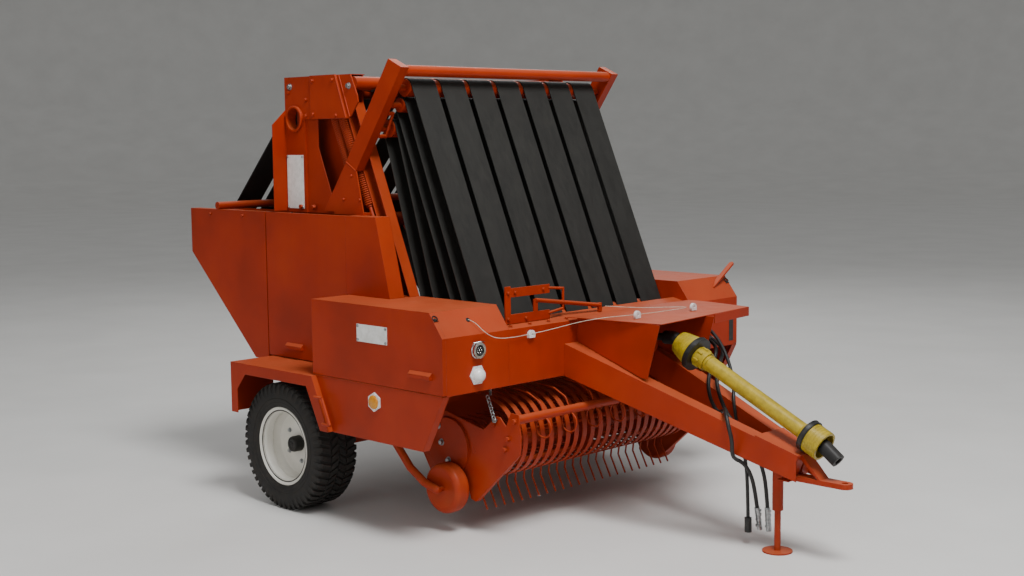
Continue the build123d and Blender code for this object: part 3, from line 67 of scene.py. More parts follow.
# ---------------------------------------------------------------- camera
YAW, PITCH, ROLL = math.radians(134.842), math.radians(-6.1208), math.radians(-0.57695)
CAMERA_X, CAMERA_Y, CAMERA_Z = 5.5894, -5.8238, 2.0675
forward = Vector((math.cos(PITCH) * math.cos(YAW), math.cos(PITCH) * math.sin(YAW), math.sin(PITCH)))
level = forward.cross(Vector((0, 0, 1))).normalized()
upright = level.cross(forward)
right = math.cos(ROLL) * level + math.sin(ROLL) * upright
up = -math.sin(ROLL) * level + math.cos(ROLL) * upright
camera = bpy.data.objects.new("camera", bpy.data.cameras.new("camera"))
camera.matrix_world = Matrix((
    (right.x, up.x, -forward.x, CAMERA_X), (right.y, up.y, -forward.y, CAMERA_Y),
    (right.z, up.z, -forward.z, CAMERA_Z), (0, 0, 0, 1)))
camera.data.sensor_width = 36
camera.data.lens = 50.39
camera.data.clip_end = 200
bpy.context.scene.collection.objects.link(camera)
bpy.context.scene.camera = camera


# ---------------------------------------------------------------- nodes
def linear(code):
    """Linear colour from an sRGB hex value."""
    values = [int(code[i:i + 2], 16) / 255 for i in (1, 3, 5)]
    return [v / 12.92 if v <= 0.04045 else ((v + 0.055) / 1.055) ** 2.4 for v in values] + [1]


def grey(value):
    """Even grey as a colour."""
    return [value] * 3 + [1]


WHITE, BLACK = grey(1), grey(0)
NOISE, RAMP = "ShaderNodeTexNoise", "ShaderNodeValToRGB"
# sums stay between 0 and 1; a colour mix takes its factor at input 0 and its colours at 6 and 7
TIMES = {"kind": "ShaderNodeMath", "operation": "MULTIPLY", "use_clamp": True}
PLUS = {"kind": "ShaderNodeMath", "operation": "ADD", "use_clamp": True}
HIGHER = {"kind": "ShaderNodeMath", "operation": "MAXIMUM", "use_clamp": True}
BLEND = {"kind": "ShaderNodeMix", "data_type": "RGBA", "output": 2}


def add(tree, inputs, kind, output=0, stops=(), **settings):
    """Adds a node and gives one of its outputs. Each input is a value or the socket that feeds it; stops are
    a colour ramp's (position, colour), and settings are the node's own."""
    node = tree.nodes.new(kind)
    for name, value in settings.items():
        setattr(node, name, value)
    for name, value in inputs.items():
        if isinstance(value, bpy.types.NodeSocket):
            tree.links.new(value, node.inputs[name])
        else:
            node.inputs[name].default_value = value
    if stops:
        elements = node.color_ramp.elements
        while len(elements) < len(stops):
            elements.new(0.5)
        for element, (place, colour) in zip(elements, stops):
            element.position = place
            element.color = colour
    return node.outputs[output]


def new_material(name):
    """Empty material with its shader; gives the material, tree, shader and Object coordinates."""
    made = bpy.data.materials.new(name)
    made.use_nodes = True
    tree = made.node_tree
    return made, tree, tree.nodes["Principled BSDF"], add(tree, {}, "ShaderNodeTexCoord", "Object")


def mottle(tree, where, size_mm, stops, detail, rough=0.55):
    """Noise with lumps about size_mm across, and the colours that it picks from the stops."""
    lumps = add(tree, {"Vector": where, "Scale": 1000 / size_mm, "Detail": detail, "Roughness": rough}, NOISE)
    return lumps, add(tree, {"Fac": lumps}, RAMP, stops=stops)


def tint(tree, colour, mask, share, code):
    """A colour taken towards a hex value by a share of a mask."""
    return add(tree, {0: add(tree, {0: mask, 1: share}, **TIMES), 6: colour, 7: linear(code)}, **BLEND)


def worn_edges(tree, radius, low, high):
    """Mask that is 1 on sharp edges and 0 on flats, and the normal that rounds those edges."""
    soft = add(tree, {"Radius": radius}, "ShaderNodeBevel", samples=4)
    true = add(tree, {}, "ShaderNodeNewGeometry", "True Normal")
    turned = add(tree, {0: soft, 1: true}, "ShaderNodeVectorMath", "Value", operation="DOT_PRODUCT")
    return add(tree, {"Fac": turned}, RAMP, stops=[(1 - high, WHITE), (1 - low, BLACK)]), soft


def upward(tree):
    """How far a face looks up, 0 to 1."""
    normal = add(tree, {}, "ShaderNodeNewGeometry", "Normal")
    return add(tree, {0: add(tree, {0: normal}, "ShaderNodeSeparateXYZ", "Z"), 1: 1.0}, **TIMES)


def roughen(tree, shader, source, share, least):
    """Roughness that rises from its least by a share of a value."""
    rise = add(tree, {0: source, 1: share}, **TIMES)
    tree.links.new(add(tree, {0: rise, 1: least}, **PLUS), shader.inputs["Roughness"])


def grain(tree, shader, where, size_mm, detail, strength, distance, normal, rough=0.55):
    """Fine relief with lumps about size_mm across, laid over a normal. Where the real grain is too fine to
    show, size_mm is larger than the real one."""
    lumps = add(tree, {"Vector": where, "Scale": 1000 / size_mm, "Detail": detail, "Roughness": rough}, NOISE)
    relief = add(tree, {"Strength": strength, "Distance": distance, "Height": lumps, "Normal": normal},
                 "ShaderNodeBump")
    tree.links.new(relief, shader.inputs["Normal"])


# ---------------------------------------------------------------- materials
def enamel(name, base, deep, faded, dust, chips, roughness, top_highlight="#9a9a98", highlight_share=0.0):
    """Sprayed machinery enamel on sheet steel: an even, slightly dimpled coat with faded patches, a painted
    highlight that lightens upward faces as light from above would, dust on top faces and near the ground,
    and worn edges where primer and steel show."""
    made, tree, shader, where = new_material(name)
    shades = [(0.3, linear(deep)), (0.52, linear(base)), (0.75, linear(faded))]
    patches, colour = mottle(tree, where, 420, shades, 3)
    drawn_out = add(tree, {"Vector": where, "Scale": (1, 1, 0.12)}, "ShaderNodeMapping")
    _, streaks = mottle(tree, drawn_out, 60, [(0.5, BLACK), (0.8, grey(0.22))], 5, 0.6)
    colour = add(tree, {0: streaks, 6: colour, 7: linear(deep)}, **BLEND)
    worn, soft = worn_edges(tree, radius=0.004, low=0.04, high=0.3)
    _, grit = mottle(tree, where, 7, [(0.52, BLACK), (0.6, WHITE)], 6, 0.7)
    chipped = add(tree, {0: worn, 1: grit}, **TIMES)
    colour = tint(tree, colour, worn, 0.25, faded)
    colour = tint(tree, colour, chipped, 0.75, chips)
    height = add(tree, {0: where}, "ShaderNodeSeparateXYZ", "Z")
    low = add(tree, {"Fac": height}, RAMP, stops=[(0.0, grey(0.7)), (0.5, grey(0.08)), (1, grey(0.02))])
    top = add(tree, {0: upward(tree), 1: 0.45}, **TIMES)
    cover = add(tree, {0: low, 1: top}, **HIGHER)
    _, cloud = mottle(tree, where, 90, [(0.35, BLACK), (0.75, WHITE)], 6, 0.65)
    veil = add(tree, {0: cover, 1: cloud}, **TIMES)
    colour = tint(tree, colour, veil, 0.42, dust)
    # painted highlight: upward faces are taken towards a lighter colour, as light from above falls on them
    colour = tint(tree, colour, upward(tree), highlight_share, top_highlight)
    _, specks = mottle(tree, where, 11, [(0.70, BLACK), (0.74, WHITE)], 3)
    colour = tint(tree, colour, specks, 0.30, chips)
    tree.links.new(colour, shader.inputs["Base Color"])
    gloss = add(tree, {0: add(tree, {0: patches, 1: 0.18}, **TIMES), 1: roughness - 0.09}, **PLUS)
    dusty = add(tree, {0: gloss, 1: add(tree, {0: veil, 1: 0.35}, **TIMES)}, **PLUS)
    tree.links.new(dusty, shader.inputs["Roughness"])
    shader.inputs["Specular IOR Level"].default_value = 0.2
    shader.inputs["Coat Weight"].default_value = 0.03
    shader.inputs["Coat Roughness"].default_value = 0.2
    grain(tree, shader, where, size_mm=5, detail=2, strength=0.06, distance=0.0006, normal=soft)
    return made


def moulded(name, base, shade, roughness, dust, veil_share):
    """Injection-moulded plastic: even colour, a fine matt grain, handling grime in the hollows."""
    made, tree, shader, where = new_material(name)
    grime, colour = mottle(tree, where, 35, [(0.35, linear(shade)), (0.62, linear(base))], 6, 0.65)
    worn, soft = worn_edges(tree, radius=0.003, low=0.05, high=0.4)
    colour = tint(tree, colour, worn, 0.35, shade)
    _, cloud = mottle(tree, where, 22, [(0.45, BLACK), (0.75, WHITE)], 5)
    colour = tint(tree, colour, cloud, veil_share, dust)
    tree.links.new(colour, shader.inputs["Base Color"])
    roughen(tree, shader, grime, 0.2, roughness - 0.1)
    grain(tree, shader, where, size_mm=1.5, detail=2, strength=0.08, distance=0.0004, normal=soft)
    return made


def rubber(name, base, shade, dust, veil_share, roughness, grain_mm=3.0, stretch=(1, 1, 1), relief=0.25):
    """Vulcanised rubber: near black with a dry bloom, fine moulding grain and dust in its relief. A stretch
    below 1 draws the patches and the grain out along that axis."""
    made, tree, shader, where = new_material(name)
    where = add(tree, {"Vector": where, "Scale": stretch}, "ShaderNodeMapping")
    _, colour = mottle(tree, where, 120, [(0.3, linear(shade)), (0.7, linear(base))], 5, 0.6)
    worn, soft = worn_edges(tree, radius=0.003, low=0.05, high=0.4)
    colour = tint(tree, colour, worn, 0.3, dust)
    _, cloud = mottle(tree, where, 30, [(0.42, BLACK), (0.72, WHITE)], 6, 0.7)
    colour = tint(tree, colour, cloud, veil_share, dust)
    tree.links.new(colour, shader.inputs["Base Color"])
    roughen(tree, shader, cloud, 0.15, roughness - 0.05)
    grain(tree, shader, where, grain_mm, detail=3, strength=relief, distance=0.0008, normal=soft, rough=0.6)
    return made


def plated(name, base, shade, roughness):
    """Zinc-plated or rolled steel: a grey metal with dull patches and fine scratches."""
    made, tree, shader, where = new_material(name)
    dull, colour = mottle(tree, where, 18, [(0.35, linear(shade)), (0.65, linear(base))], 5, 0.6)
    tree.links.new(colour, shader.inputs["Base Color"])
    shader.inputs["Metallic"].default_value = 1.0
    roughen(tree, shader, dull, 0.25, roughness - 0.1)
    _, soft = worn_edges(tree, radius=0.002, low=0.05, high=0.4)
    grain(tree, shader, where, size_mm=2, detail=3, strength=0.1, distance=0.0003, normal=soft, rough=0.6)
    return made


MATERIALS = {
    # the orange enamel carries a painted highlight on its upward faces
    "body_paint": enamel("orange_enamel", base="#9f2a08", deep="#8c2406", faded="#aa330c", dust="#a06a45",
                         chips="#4a2a1c", roughness=0.42, top_highlight="#cb6a42", highlight_share=0.4),
    "rim_paint": enamel("grey_rim_enamel", base="#e6e3da", deep="#d2cfc5", faded="#efede6", dust="#a89c88",
                        chips="#6b5a4c", roughness=0.38),
    "black_paint": enamel("black_enamel", base="#202021", deep="#161617", faded="#303032", dust="#7d7364",
                          chips="#5a5450", roughness=0.45),
    "tyre_rubber": rubber("tyre_rubber", base="#1e1c1b", shade="#141312", dust="#544b41", veil_share=0.3,
                          roughness=0.8, grain_mm=4.0),
    "belt_rubber": rubber("belt_rubber", base="#22211e", shade="#181714", dust="#35332d", veil_share=0.2,
                          roughness=0.7, grain_mm=2.4, stretch=(1, 1, 0.35), relief=0.35),
    "hose_rubber": rubber("hose_rubber", base="#1c1c1d", shade="#121213", dust="#4b463f", veil_share=0.18,
                          roughness=0.5),
    "zinc_steel": plated("zinc_plated_steel", base="#b9bcbd", shade="#8c8f90", roughness=0.32),
    "black_plastic": moulded("black_polyethylene", base="#1b1b1b", shade="#101010", roughness=0.42,
                             dust="#5d554a", veil_share=0.2),
    "yellow_plastic": moulded("yellow_polyethylene", base="#b59c1f", shade="#9a8315", roughness=0.42,
                              dust="#948040", veil_share=0.05),
    "white_plastic": moulded("white_reflector", base="#e9e9e8", shade="#cfcfce", roughness=0.28,
                             dust="#b0a898", veil_share=0.12),
    "amber_plastic": moulded("amber_reflector", base="#e39a1c", shade="#c47a10", roughness=0.2,
                             dust="#b0905c", veil_share=0.1),
    "white_plate": moulded("white_sign_enamel", base="#ebeae6", shade="#d7d6d1", roughness=0.35,
                           dust="#b5ad9d", veil_share=0.12),
    "lamp_glass": moulded("domed_lamp_glass", base="#f1f1ef", shade="#d9d9d6", roughness=0.16,
                          dust="#b9b2a4", veil_share=0.06),
    "chrome": plated("chromed_steel", base="#d6d7d8", shade="#a9abac", roughness=0.16),
    "twine_fibre": moulded("sisal_twine", base="#d9d3c4", shade="#b9b09b", roughness=0.85,
                           dust="#a99d86", veil_share=0.3),
}
for name, piece in nodes.items():
    piece.data.materials.clear()
    piece.data.materials.append(MATERIALS[slots[name]])


# ---------------------------------------------------------------- mesh helpers
SHARP_ANGLE = math.radians(35)                   # edges sharper than this stay hard
AXIS = 0.01                                      # radius in mm that stands for a turned shape's own axis


def shade(mesh):
    """Smooth shading with hard edges."""
    mesh.shade_smooth()
    mesh.set_sharp_from_angle(angle=SHARP_ANGLE)


def mesh_from(name, work):
    """Mesh made from a bmesh, which is freed."""
    mesh = bpy.data.meshes.new(name)
    work.to_mesh(mesh)
    work.free()
    return mesh


def evaluated_mesh(made):
    """Mesh of an object as its curve or modifiers make it."""
    bpy.context.view_layer.update()
    return bpy.data.meshes.new_from_object(made.evaluated_get(bpy.context.evaluated_depsgraph_get()))


def as_piece(name, mesh, material, body):
    """Piece with one material that rides on a body."""
    made = bpy.data.objects.new(name, mesh)
    bpy.context.scene.collection.objects.link(made)
    mesh.materials.clear()
    mesh.materials.append(MATERIALS[material])
    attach(made, body)
    return made


def placed(name, work, material, body, smooth=True):
    """Turns a bmesh into a piece with a material that rides on a body."""
    bmesh.ops.recalc_face_normals(work, faces=work.faces)
    mesh = mesh_from(name, work)
    if smooth:
        shade(mesh)
    return as_piece(name, mesh, material, body)


def facing(direction):
    """Turn that takes +Z to a direction."""
    return Vector(direction).to_track_quat("Z", "Y").to_matrix().to_4x4()


def round_steps(steps):
    """Angles of equal steps round a full turn."""
    return [2 * math.pi * i / steps for i in range(steps)]


def polar(radius, angle, height=0.0):
    """Point at an angle about +Z."""
    return Vector((radius * math.cos(angle), radius * math.sin(angle), height))


def skin(work, rings):
    """Closed surface through rings of vertices, with a flat face at each end."""
    for first, second in zip(rings, rings[1:]):
        for k in range(len(first)):
            n = (k + 1) % len(first)
            work.faces.new((first[k], first[n], second[n], second[k]))
    work.faces.new(rings[0][::-1])
    work.faces.new(rings[-1])


def lathe(work, profile, place, direction=(0, 0, 1), steps=32):
    """Closed ring of a profile of (radius, height) in mm about an axis through a place."""
    turn = Matrix.Translation(place) @ facing(direction)
    rows = [[work.verts.new(turn @ polar(r / 1000, angle, h / 1000)) for r, h in profile]
            for angle in round_steps(steps)]
    for first, second in zip(rows, rows[1:] + rows[:1]):
        for j in range(len(profile)):
            k = (j + 1) % len(profile)
            work.faces.new((first[j], second[j], second[k], first[k]))


def tube(work, points, radius, steps=10):
    """Round bar along points, with flat ends."""
    rings = []
    for i, point in enumerate(points):
        before, after = points[max(i - 1, 0)], points[min(i + 1, len(points) - 1)]
        turn = Matrix.Translation(point) @ facing(after - before)
        rings.append([work.verts.new(turn @ polar(radius, angle)) for angle in round_steps(steps)])
    skin(work, rings)


def disc(work, place, direction, radius, thick, hole=AXIS):
    """Flat round boss with a soft edge, sizes in mm."""
    lathe(work, ((hole, 0), (radius, 0), (radius, thick - 1), (radius - 1, thick), (hole, thick)),
          place, direction, 28)


def bar(work, low, high):
    """Rectangular bar between two corners."""
    made = bmesh.ops.create_cube(work, size=1)
    matrix = Matrix.Translation((low + high) / 2) @ Matrix.Diagonal((*(high - low), 1))
    bmesh.ops.transform(work, matrix=matrix, verts=made["verts"])


def copies_tree():
    """Tree that puts a real copy of a shape on every point, turned by the point's own angles, and paints it;
    gives the tree and the identifiers of its inputs by name."""
    tree = bpy.data.node_groups.new("copies", "GeometryNodeTree")
    tree.interface.new_socket("Copies", in_out="OUTPUT", socket_type="NodeSocketGeometry")
    keys = {}
    for name, kind in (("Points", "NodeSocketGeometry"), ("Shape", "NodeSocketObject"),
                       ("Paint", "NodeSocketMaterial")):
        keys[name] = tree.interface.new_socket(name, in_out="INPUT", socket_type=kind).identifier
    given, result = tree.nodes.new("NodeGroupInput").outputs, tree.nodes.new("NodeGroupOutput")
    shape = add(tree, {"Object": given["Shape"]}, "GeometryNodeObjectInfo", "Geometry")
    turn = add(tree, {"Name": "turn"}, "GeometryNodeInputNamedAttribute", data_type="FLOAT_VECTOR")
    spread = add(tree, {"Points": given["Points"], "Instance": shape, "Rotation": turn},
                 "GeometryNodeInstanceOnPoints")
    real = add(tree, {0: spread}, "GeometryNodeRealizeInstances")
    painted = add(tree, {"Geometry": real, "Material": given["Paint"]}, "GeometryNodeSetMaterial")
    tree.links.new(painted, result.inputs[0])
    return tree, keys


COPIES, COPIES_KEYS = copies_tree()


def repeated(name, prototype, places, material, body):
    """Copies of a small mesh on marked places, each (place, direction), made with Geometry Nodes."""
    marks = bpy.data.meshes.new(name + "_marks")
    marks.from_pydata([tuple(place) for place, _ in places], [], [])
    turns = marks.attributes.new("turn", "FLOAT_VECTOR", "POINT")
    for entry, (_, direction) in zip(turns.data, places):
        entry.vector = facing(direction).to_euler()
    source = bpy.data.objects.new(name + "_marks", marks)
    modifier = source.modifiers.new("copies", "NODES")
    modifier.node_group = COPIES
    modifier[COPIES_KEYS["Shape"]] = prototype
    modifier[COPIES_KEYS["Paint"]] = MATERIALS[material]
    bpy.context.scene.collection.objects.link(source)
    mesh = evaluated_mesh(source)
    bpy.data.objects.remove(source)
    shade(mesh)
    return as_piece(name, mesh, material, body)


WASHER_THICK = 1.6


def bolt_shape(size):
    """Hexagon head with a chamfered top on a washer, size in mm across the flats."""
    washer, corner, flat = size * 0.78, size * 0.577, size * 0.5
    shoulder, top = size * 0.55, size * 0.63
    work = bmesh.new()
    lathe(work, ((AXIS, 0), (washer, 0), (washer, WASHER_THICK), (AXIS, WASHER_THICK)), (0, 0, 0), steps=16)
    lathe(work, ((AXIS, WASHER_THICK), (corner, WASHER_THICK), (corner, shoulder), (flat, top), (AXIS, top)),
          (0, 0, 0), steps=6)
    return bpy.data.objects.new(f"bolt_{size}", mesh_from(f"bolt_{size}", work))


BOLTS = {size: bolt_shape(size) for size in (10, 14, 18, 24)}


# ---------------------------------------------------------------- hoses and cable
# diameter in mm, far end, the piece it ends in, and the route
HOSES = {
    "hose_front": (20, "fitting", "coupler_front", (
        (462, 336, 965), (529, 326, 940), (578, 280, 911), (618, 200, 872), (652, 120, 801), (717, 60, 728),
        (805, 0, 660), (870, 4, 590), (920, 12, 532), (965, 34, 470), (990, 55, 395), (1006, 67, 300),
        (1015, 67, 190))),
    "hose_loop": (20, "fitting", "coupler_loop", (
        (437, 300, 971), (491, 300, 959), (546, 270, 925), (564, 220, 874), (593, 130, 793), (653, 60, 720),
        (715, 20, 671), (775, -25, 658), (831, -60, 676), (880, -110, 703), (937, -180, 694),
        (968, -200, 636), (989, -200, 570), (975, -180, 500), (940, -110, 458), (948, -50, 430),
        (963, -10, 375), (966, 26, 287), (968, 45, 187))),
    "cable_tail": (18, "plug", "cable_plug", (
        (439, 280, 1059), (513, 270, 1018), (601, 240, 955), (690, 190, 865), (759, 130, 775), (796, 74, 703),
        (851, 40, 567), (930, 0, 432), (942, 0, 280), (945, 0, 140))),
}


def spline_curve(name, points, radius, material):
    """Smooth round cord along control points."""
    line = bpy.data.curves.new(name, "CURVE")
    line.dimensions = "3D"
    line.bevel_depth = radius
    line.bevel_resolution = 5
    line.use_fill_caps = True
    line.resolution_u = 12
    line.materials.append(MATERIALS[material])
    run = line.splines.new("NURBS")
    run.points.add(len(points) - 1)
    for entry, point in zip(run.points, points):
        entry.co = (*point, 1)
    run.order_u = 3
    run.use_endpoint_u = True
    run.use_smooth = True
    made = bpy.data.objects.new(name, line)
    bpy.context.scene.collection.objects.link(made)
    return made


def spline_length(made):
    """Length of a curve's own line."""
    bare = made.copy()
    bare.data = made.data.copy()
    bare.data.bevel_depth = 0
    bpy.context.scene.collection.objects.link(bare)
    mesh = evaluated_mesh(bare)
    spots = [vertex.co for vertex in mesh.vertices]
    total = sum((spots[edge.vertices[0]] - spots[edge.vertices[1]]).length for edge in mesh.edges)
    bpy.data.objects.remove(bare)
    return total


for name, (dia, far_end, end_piece, route) in HOSES.items():
    points = [at(*point) for point in route]
    made = spline_curve(name + "_line", points, dia / 2000, "hose_rubber")
    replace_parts(made, name)
    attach(made, "chassis")
    spline_length(made)


# ---------------------------------------------------------------- wheels: ribbed tyre, dished rim, hub
TYRE_LUGS = 50
WHEEL_STEPS = 96
tyre_low, tyre_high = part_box("tyre_right")
# the tyre's radius and half width in mm, and its radius between the lugs
RADIUS, HALF = (tyre_high.z - tyre_low.z) * 500, (tyre_high.y - tyre_low.y) * 500
CARCASS = RADIUS - 10
# profiles of (radius, distance out from the wheel's middle plane), in mm
HALF_TYRE = ((197, -112), (222, -113), (229, -120), (257, -HALF + 5), (288, -HALF),
             (CARCASS - 48, -HALF + 1), (CARCASS - 22, -HALF + 4), (CARCASS - 6, -HALF + 14),
             (CARCASS, -HALF + 32), (CARCASS, 0))
TYRE = HALF_TYRE + tuple((r, -h) for r, h in HALF_TYRE[-2::-1])
WALL_RIBS = ((244, HALF - 8.5), (266, HALF - 3))
RIM = ((213, 112), (219, 113), (220, 117), (217, 120), (211, 119.5), (206, 115), (194, 103), (190, 84),
       (187, 40), (184, 14), (176, 3), (150, 2), (118, 8), (84, 8), (44, 2), (44, -4), (84, 2), (118, 2),
       (150, -4), (178, -4), (188, 6), (190, -84), (194, -103), (206, -115), (211, -119.5), (217, -120),
       (220, -117), (219, -113), (213, -112), (197, -110), (195, -100), (195, 100), (197, 110))
RIM_BEAD = ((186, 56), (183.5, 55), (183.5, 51), (186, 50))
HUB_FRONT = ((75, -8), (44, -5), (44, 44), (41, 53), (35, 58), (23, 58), (21, 56.5), (10, 56.5), (8, 58.5),
             (AXIS, 58.5), (AXIS, 55.5), (24, 55.5))
# sections of a lug: radius and distance out of its face, the same of its root, then its swing and half its
# width in radians
SHOULDER = ((RADIUS - 58, HALF - 0.5, RADIUS - 58, HALF - 9, 0, 0.021),
            (RADIUS - 28, HALF - 0.5, RADIUS - 32, HALF - 11, 0, 0.026),
            (RADIUS - 9, HALF - 4, RADIUS - 19, HALF - 15, 0.004, 0.030),
            (RADIUS, HALF - 15, RADIUS - 14, HALF - 21, 0.010, 0.034),
            (RADIUS, HALF * 0.66, RADIUS - 14, HALF * 0.66, 0.036, 0.036),
            (RADIUS, HALF * 0.43, RADIUS - 14, HALF * 0.43, 0.062, 0.036))
MIDDLE = ((RADIUS, HALF * 0.37, RADIUS - 14, HALF * 0.37, 0.075, 0.040),
          (RADIUS, HALF * 0.04, RADIUS - 14, HALF * 0.04, 0.0, 0.040))
LUG_SPREAD = 1.2                                 # a lug's root over its face
LUG_OFFSET = 0.25                                # turn of each half of the tread, as a share of a lug's step
WHEEL_BOLTS, BOLT_CIRCLE, BOLT_OUT = 5, 0.101, 0.008
VALVE_RADIUS = 0.005


def lug(work, centre, side, start, sections):
    """One rubber lug lofted through its sections."""
    rings = []
    for tip_r, tip_y, root_r, root_y, swing, half in sections:
        ring = []
        for radius, y, bend in ((root_r, root_y, -LUG_SPREAD), (tip_r, tip_y, -1), (tip_r, tip_y, 1),
                                (root_r, root_y, LUG_SPREAD)):
            angle = start + swing + bend * half
            spot = Vector((radius * math.sin(angle), side * y, radius * math.cos(angle))) / 1000
            ring.append(work.verts.new(centre + spot))
        rings.append(ring)
    skin(work, rings)


def tyre_shape(centre, out):
    """Carcass with ribs on its walls and two rows of lugs on each half."""
    work = bmesh.new()
    lathe(work, TYRE, centre, out, WHEEL_STEPS)
    for half in BOTH:
        for radius, edge in WALL_RIBS:
            foot, crest = half * (edge - 4), half * (edge + 2)
            lathe(work, ((radius - 3, foot), (radius - 2, crest), (radius + 2, crest), (radius + 3, foot)),
                  centre, out, 72)
        for i in range(TYRE_LUGS):
            start = 2 * math.pi * (i + half * LUG_OFFSET) / TYRE_LUGS
            lug(work, centre, half, start, SHOULDER)
            lug(work, centre, half, start, MIDDLE)
    return work


for side_name, side in SIDES:
    centre, out, body = middle_of("tyre_" + side_name), (0, side, 0), "wheel_" + side_name
    tyre = placed("tread_tyre_" + side_name, tyre_shape(centre, out), "tyre_rubber", body)
    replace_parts(tyre, "tyre_" + side_name)

    work = bmesh.new()
    lathe(work, RIM, centre, out, WHEEL_STEPS)
    lathe(work, RIM_BEAD, centre, out, WHEEL_STEPS)
    rim = placed("dished_rim_" + side_name, work, "rim_paint", body)
    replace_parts(rim, "rim_" + side_name)

    hub_low, hub_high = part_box("hub_" + side_name)
    back = (hub_low.y if side > 0 else -hub_high.y) * 1000 - side * centre.y * 1000
    work = bmesh.new()
    lathe(work, ((24, back), (75, back)) + HUB_FRONT, centre, out, 40)
    hub = placed("capped_hub_" + side_name, work, "black_paint", body)
    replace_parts(hub, "hub_" + side_name)

    places = []
    for k in range(WHEEL_BOLTS):
        angle = 2 * math.pi * (k + 0.3) / WHEEL_BOLTS
        spot = Vector((BOLT_CIRCLE * math.sin(angle), side * BOLT_OUT, BOLT_CIRCLE * math.cos(angle)))
        places.append((centre + spot, out))
    repeated("wheel_bolts_" + side_name, BOLTS[18], places, "zinc_steel", body)
    work = bmesh.new()
    stem = centre + Vector((0.150, side * 0.002, -0.095))
    tube(work, [stem, stem + Vector((0.004, side * 0.030, -0.004))], VALVE_RADIUS)
    placed("valve_" + side_name, work, "black_plastic", body)


# ---------------------------------------------------------------- tension springs: close coils over a core
SPRING_Y, SPRING_TOP_Z = 804, 2160
SPRING_RADIUS, SPRING_WIRE = 31, 9
SPRING_PITCH = 1.3                               # rise of one round over the wire's thickness
CORE_RADIUS, ROD_RADIUS = 0.0195, 0.012


def coil(work, foot, top, radius, wire):
    """Spring between two places, sizes in mm."""
    axis = top - foot
    turn, rise = facing(axis), axis.normalized()
    rounds = int(axis.length * 1000 / (wire * SPRING_PITCH))
    steps = 14
    rings = []
    for i in range(rounds * steps + 1):
        centre = foot + axis * (i / (rounds * steps))
        out = turn @ polar(1, 2 * math.pi * i / steps)
        rings.append([work.verts.new(centre + (out * (radius - wire / 2 + wire / 2 * math.cos(bend))
                                               + rise * (wire / 2 * math.sin(bend))) / 1000)
                      for bend in round_steps(6)])
    skin(work, rings)


springs = bmesh.new()
for side in BOTH:
    y = side * SPRING_Y
    for foot_x, foot_z, top_x in ((-1165, 1890, -1280), (-1005, 1690, -1213)):
        foot, top = at(foot_x, y, foot_z), at(top_x, y, SPRING_TOP_Z)
        coil(springs, foot, top, SPRING_RADIUS, SPRING_WIRE)
        axis = (top - foot).normalized()
        tube(springs, [foot - axis * 0.012, top + axis * 0.004], CORE_RADIUS, 12)
    tube(springs, [at(-815, y, 1270), at(-1213, y, SPRING_TOP_Z)], ROD_RADIUS, 14)
springs = placed("tension_springs", springs, "body_paint", "chassis")
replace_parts(springs, "tension_tubes")


# ---------------------------------------------------------------- twine guides and the twine itself
GUIDES = ((0, -589, 1047, 18), (317, -122, 1127, 16), (331, 333, 1127, 16))    # place and thickness in mm
GUIDE_RADIUS, GUIDE_FOOT, GUIDE_HOLE, HOLE_RISE = 22, 18, 7, 2
GUIDE_EDGE = 0.0012                              # rounding, in metres
GUIDE_SCALE = 0.94                               # makes room for the rounding


def guide(name, x, y, z, depth):
    """Half-round plate with a hole for the twine, its foot on the sheet below."""
    outline = bpy.data.curves.new(name, "CURVE")
    outline.dimensions = "2D"
    outline.fill_mode = "BOTH"
    outline.extrude = depth / 2000 - GUIDE_EDGE
    outline.bevel_depth = GUIDE_EDGE
    outline.bevel_resolution = 2
    rim = [(-GUIDE_RADIUS, -GUIDE_FOOT), (GUIDE_RADIUS, -GUIDE_FOOT), (GUIDE_RADIUS, 0)]
    rim += [(GUIDE_RADIUS * math.cos(math.pi * k / 12), GUIDE_RADIUS * math.sin(math.pi * k / 12))
            for k in range(1, 12)]
    rim += [(-GUIDE_RADIUS, 0)]
    hole = [(GUIDE_HOLE * math.cos(angle), HOLE_RISE + GUIDE_HOLE * math.sin(angle))
            for angle in round_steps(16)]
    for ring in (rim, hole):
        run = outline.splines.new("POLY")
        run.points.add(len(ring) - 1)
        for entry, (u, v) in zip(run.points, ring):
            entry.co = (u * GUIDE_SCALE / 1000, v * GUIDE_SCALE / 1000, 0, 1)
        run.use_cyclic_u = True
    made = bpy.data.objects.new(name, outline)
    bpy.context.scene.collection.objects.link(made)
    mesh = bpy.data.meshes.new_from_object(made)
    # stands the flat outline up across the machine
    mesh.transform(Matrix.Translation(at(x + depth / 2, y, z))
                   @ Matrix(((0, 0, 1, 0), (1, 0, 0, 0), (0, 1, 0, 0), (0, 0, 0, 1))))
    bpy.data.objects.remove(made)
    return as_piece(name, mesh, "white_plastic", "chassis")


for i, place in enumerate(GUIDES):
    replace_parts(guide(f"twine_guide_{i}", *place), "twine_eyelets")
TWINE_RADIUS = 0.0016
TWINE = [at(*point) for point in (
    (-52, -976, 1156), (-20, -960, 1146), (14, -925, 1090), (20, -850, 1052), (20, -720, 1046),
    (9, -589, 1049), (60, -520, 1064), (180, -330, 1114), (325, -122, 1129), (336, 60, 1128),
    (339, 333, 1129), (230, 250, 1126), (110, 120, 1124), (-20, 20, 1134))]
twine = spline_curve("twine", TWINE, TWINE_RADIUS, "twine_fibre")
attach(twine, "chassis")
spline_length(twine)


# ---------------------------------------------------------------- bolts, studs and rivets
# distances out from the machine's middle plane, in mm
TOWER_FACE, HEAD_FACE, GUSSET_FACE = 850, 862, 867
BOX_FACE, COVER_FACE = 1200, 945
CHEEK_FACE, REEL_COVER_FACE = 794, 808


def facing_out(y, places):
    """Places (x, z) repeated on both sides, each with the way it faces."""
    return [(x, side * y, z, (0, side, 0)) for side in BOTH for x, z in places]


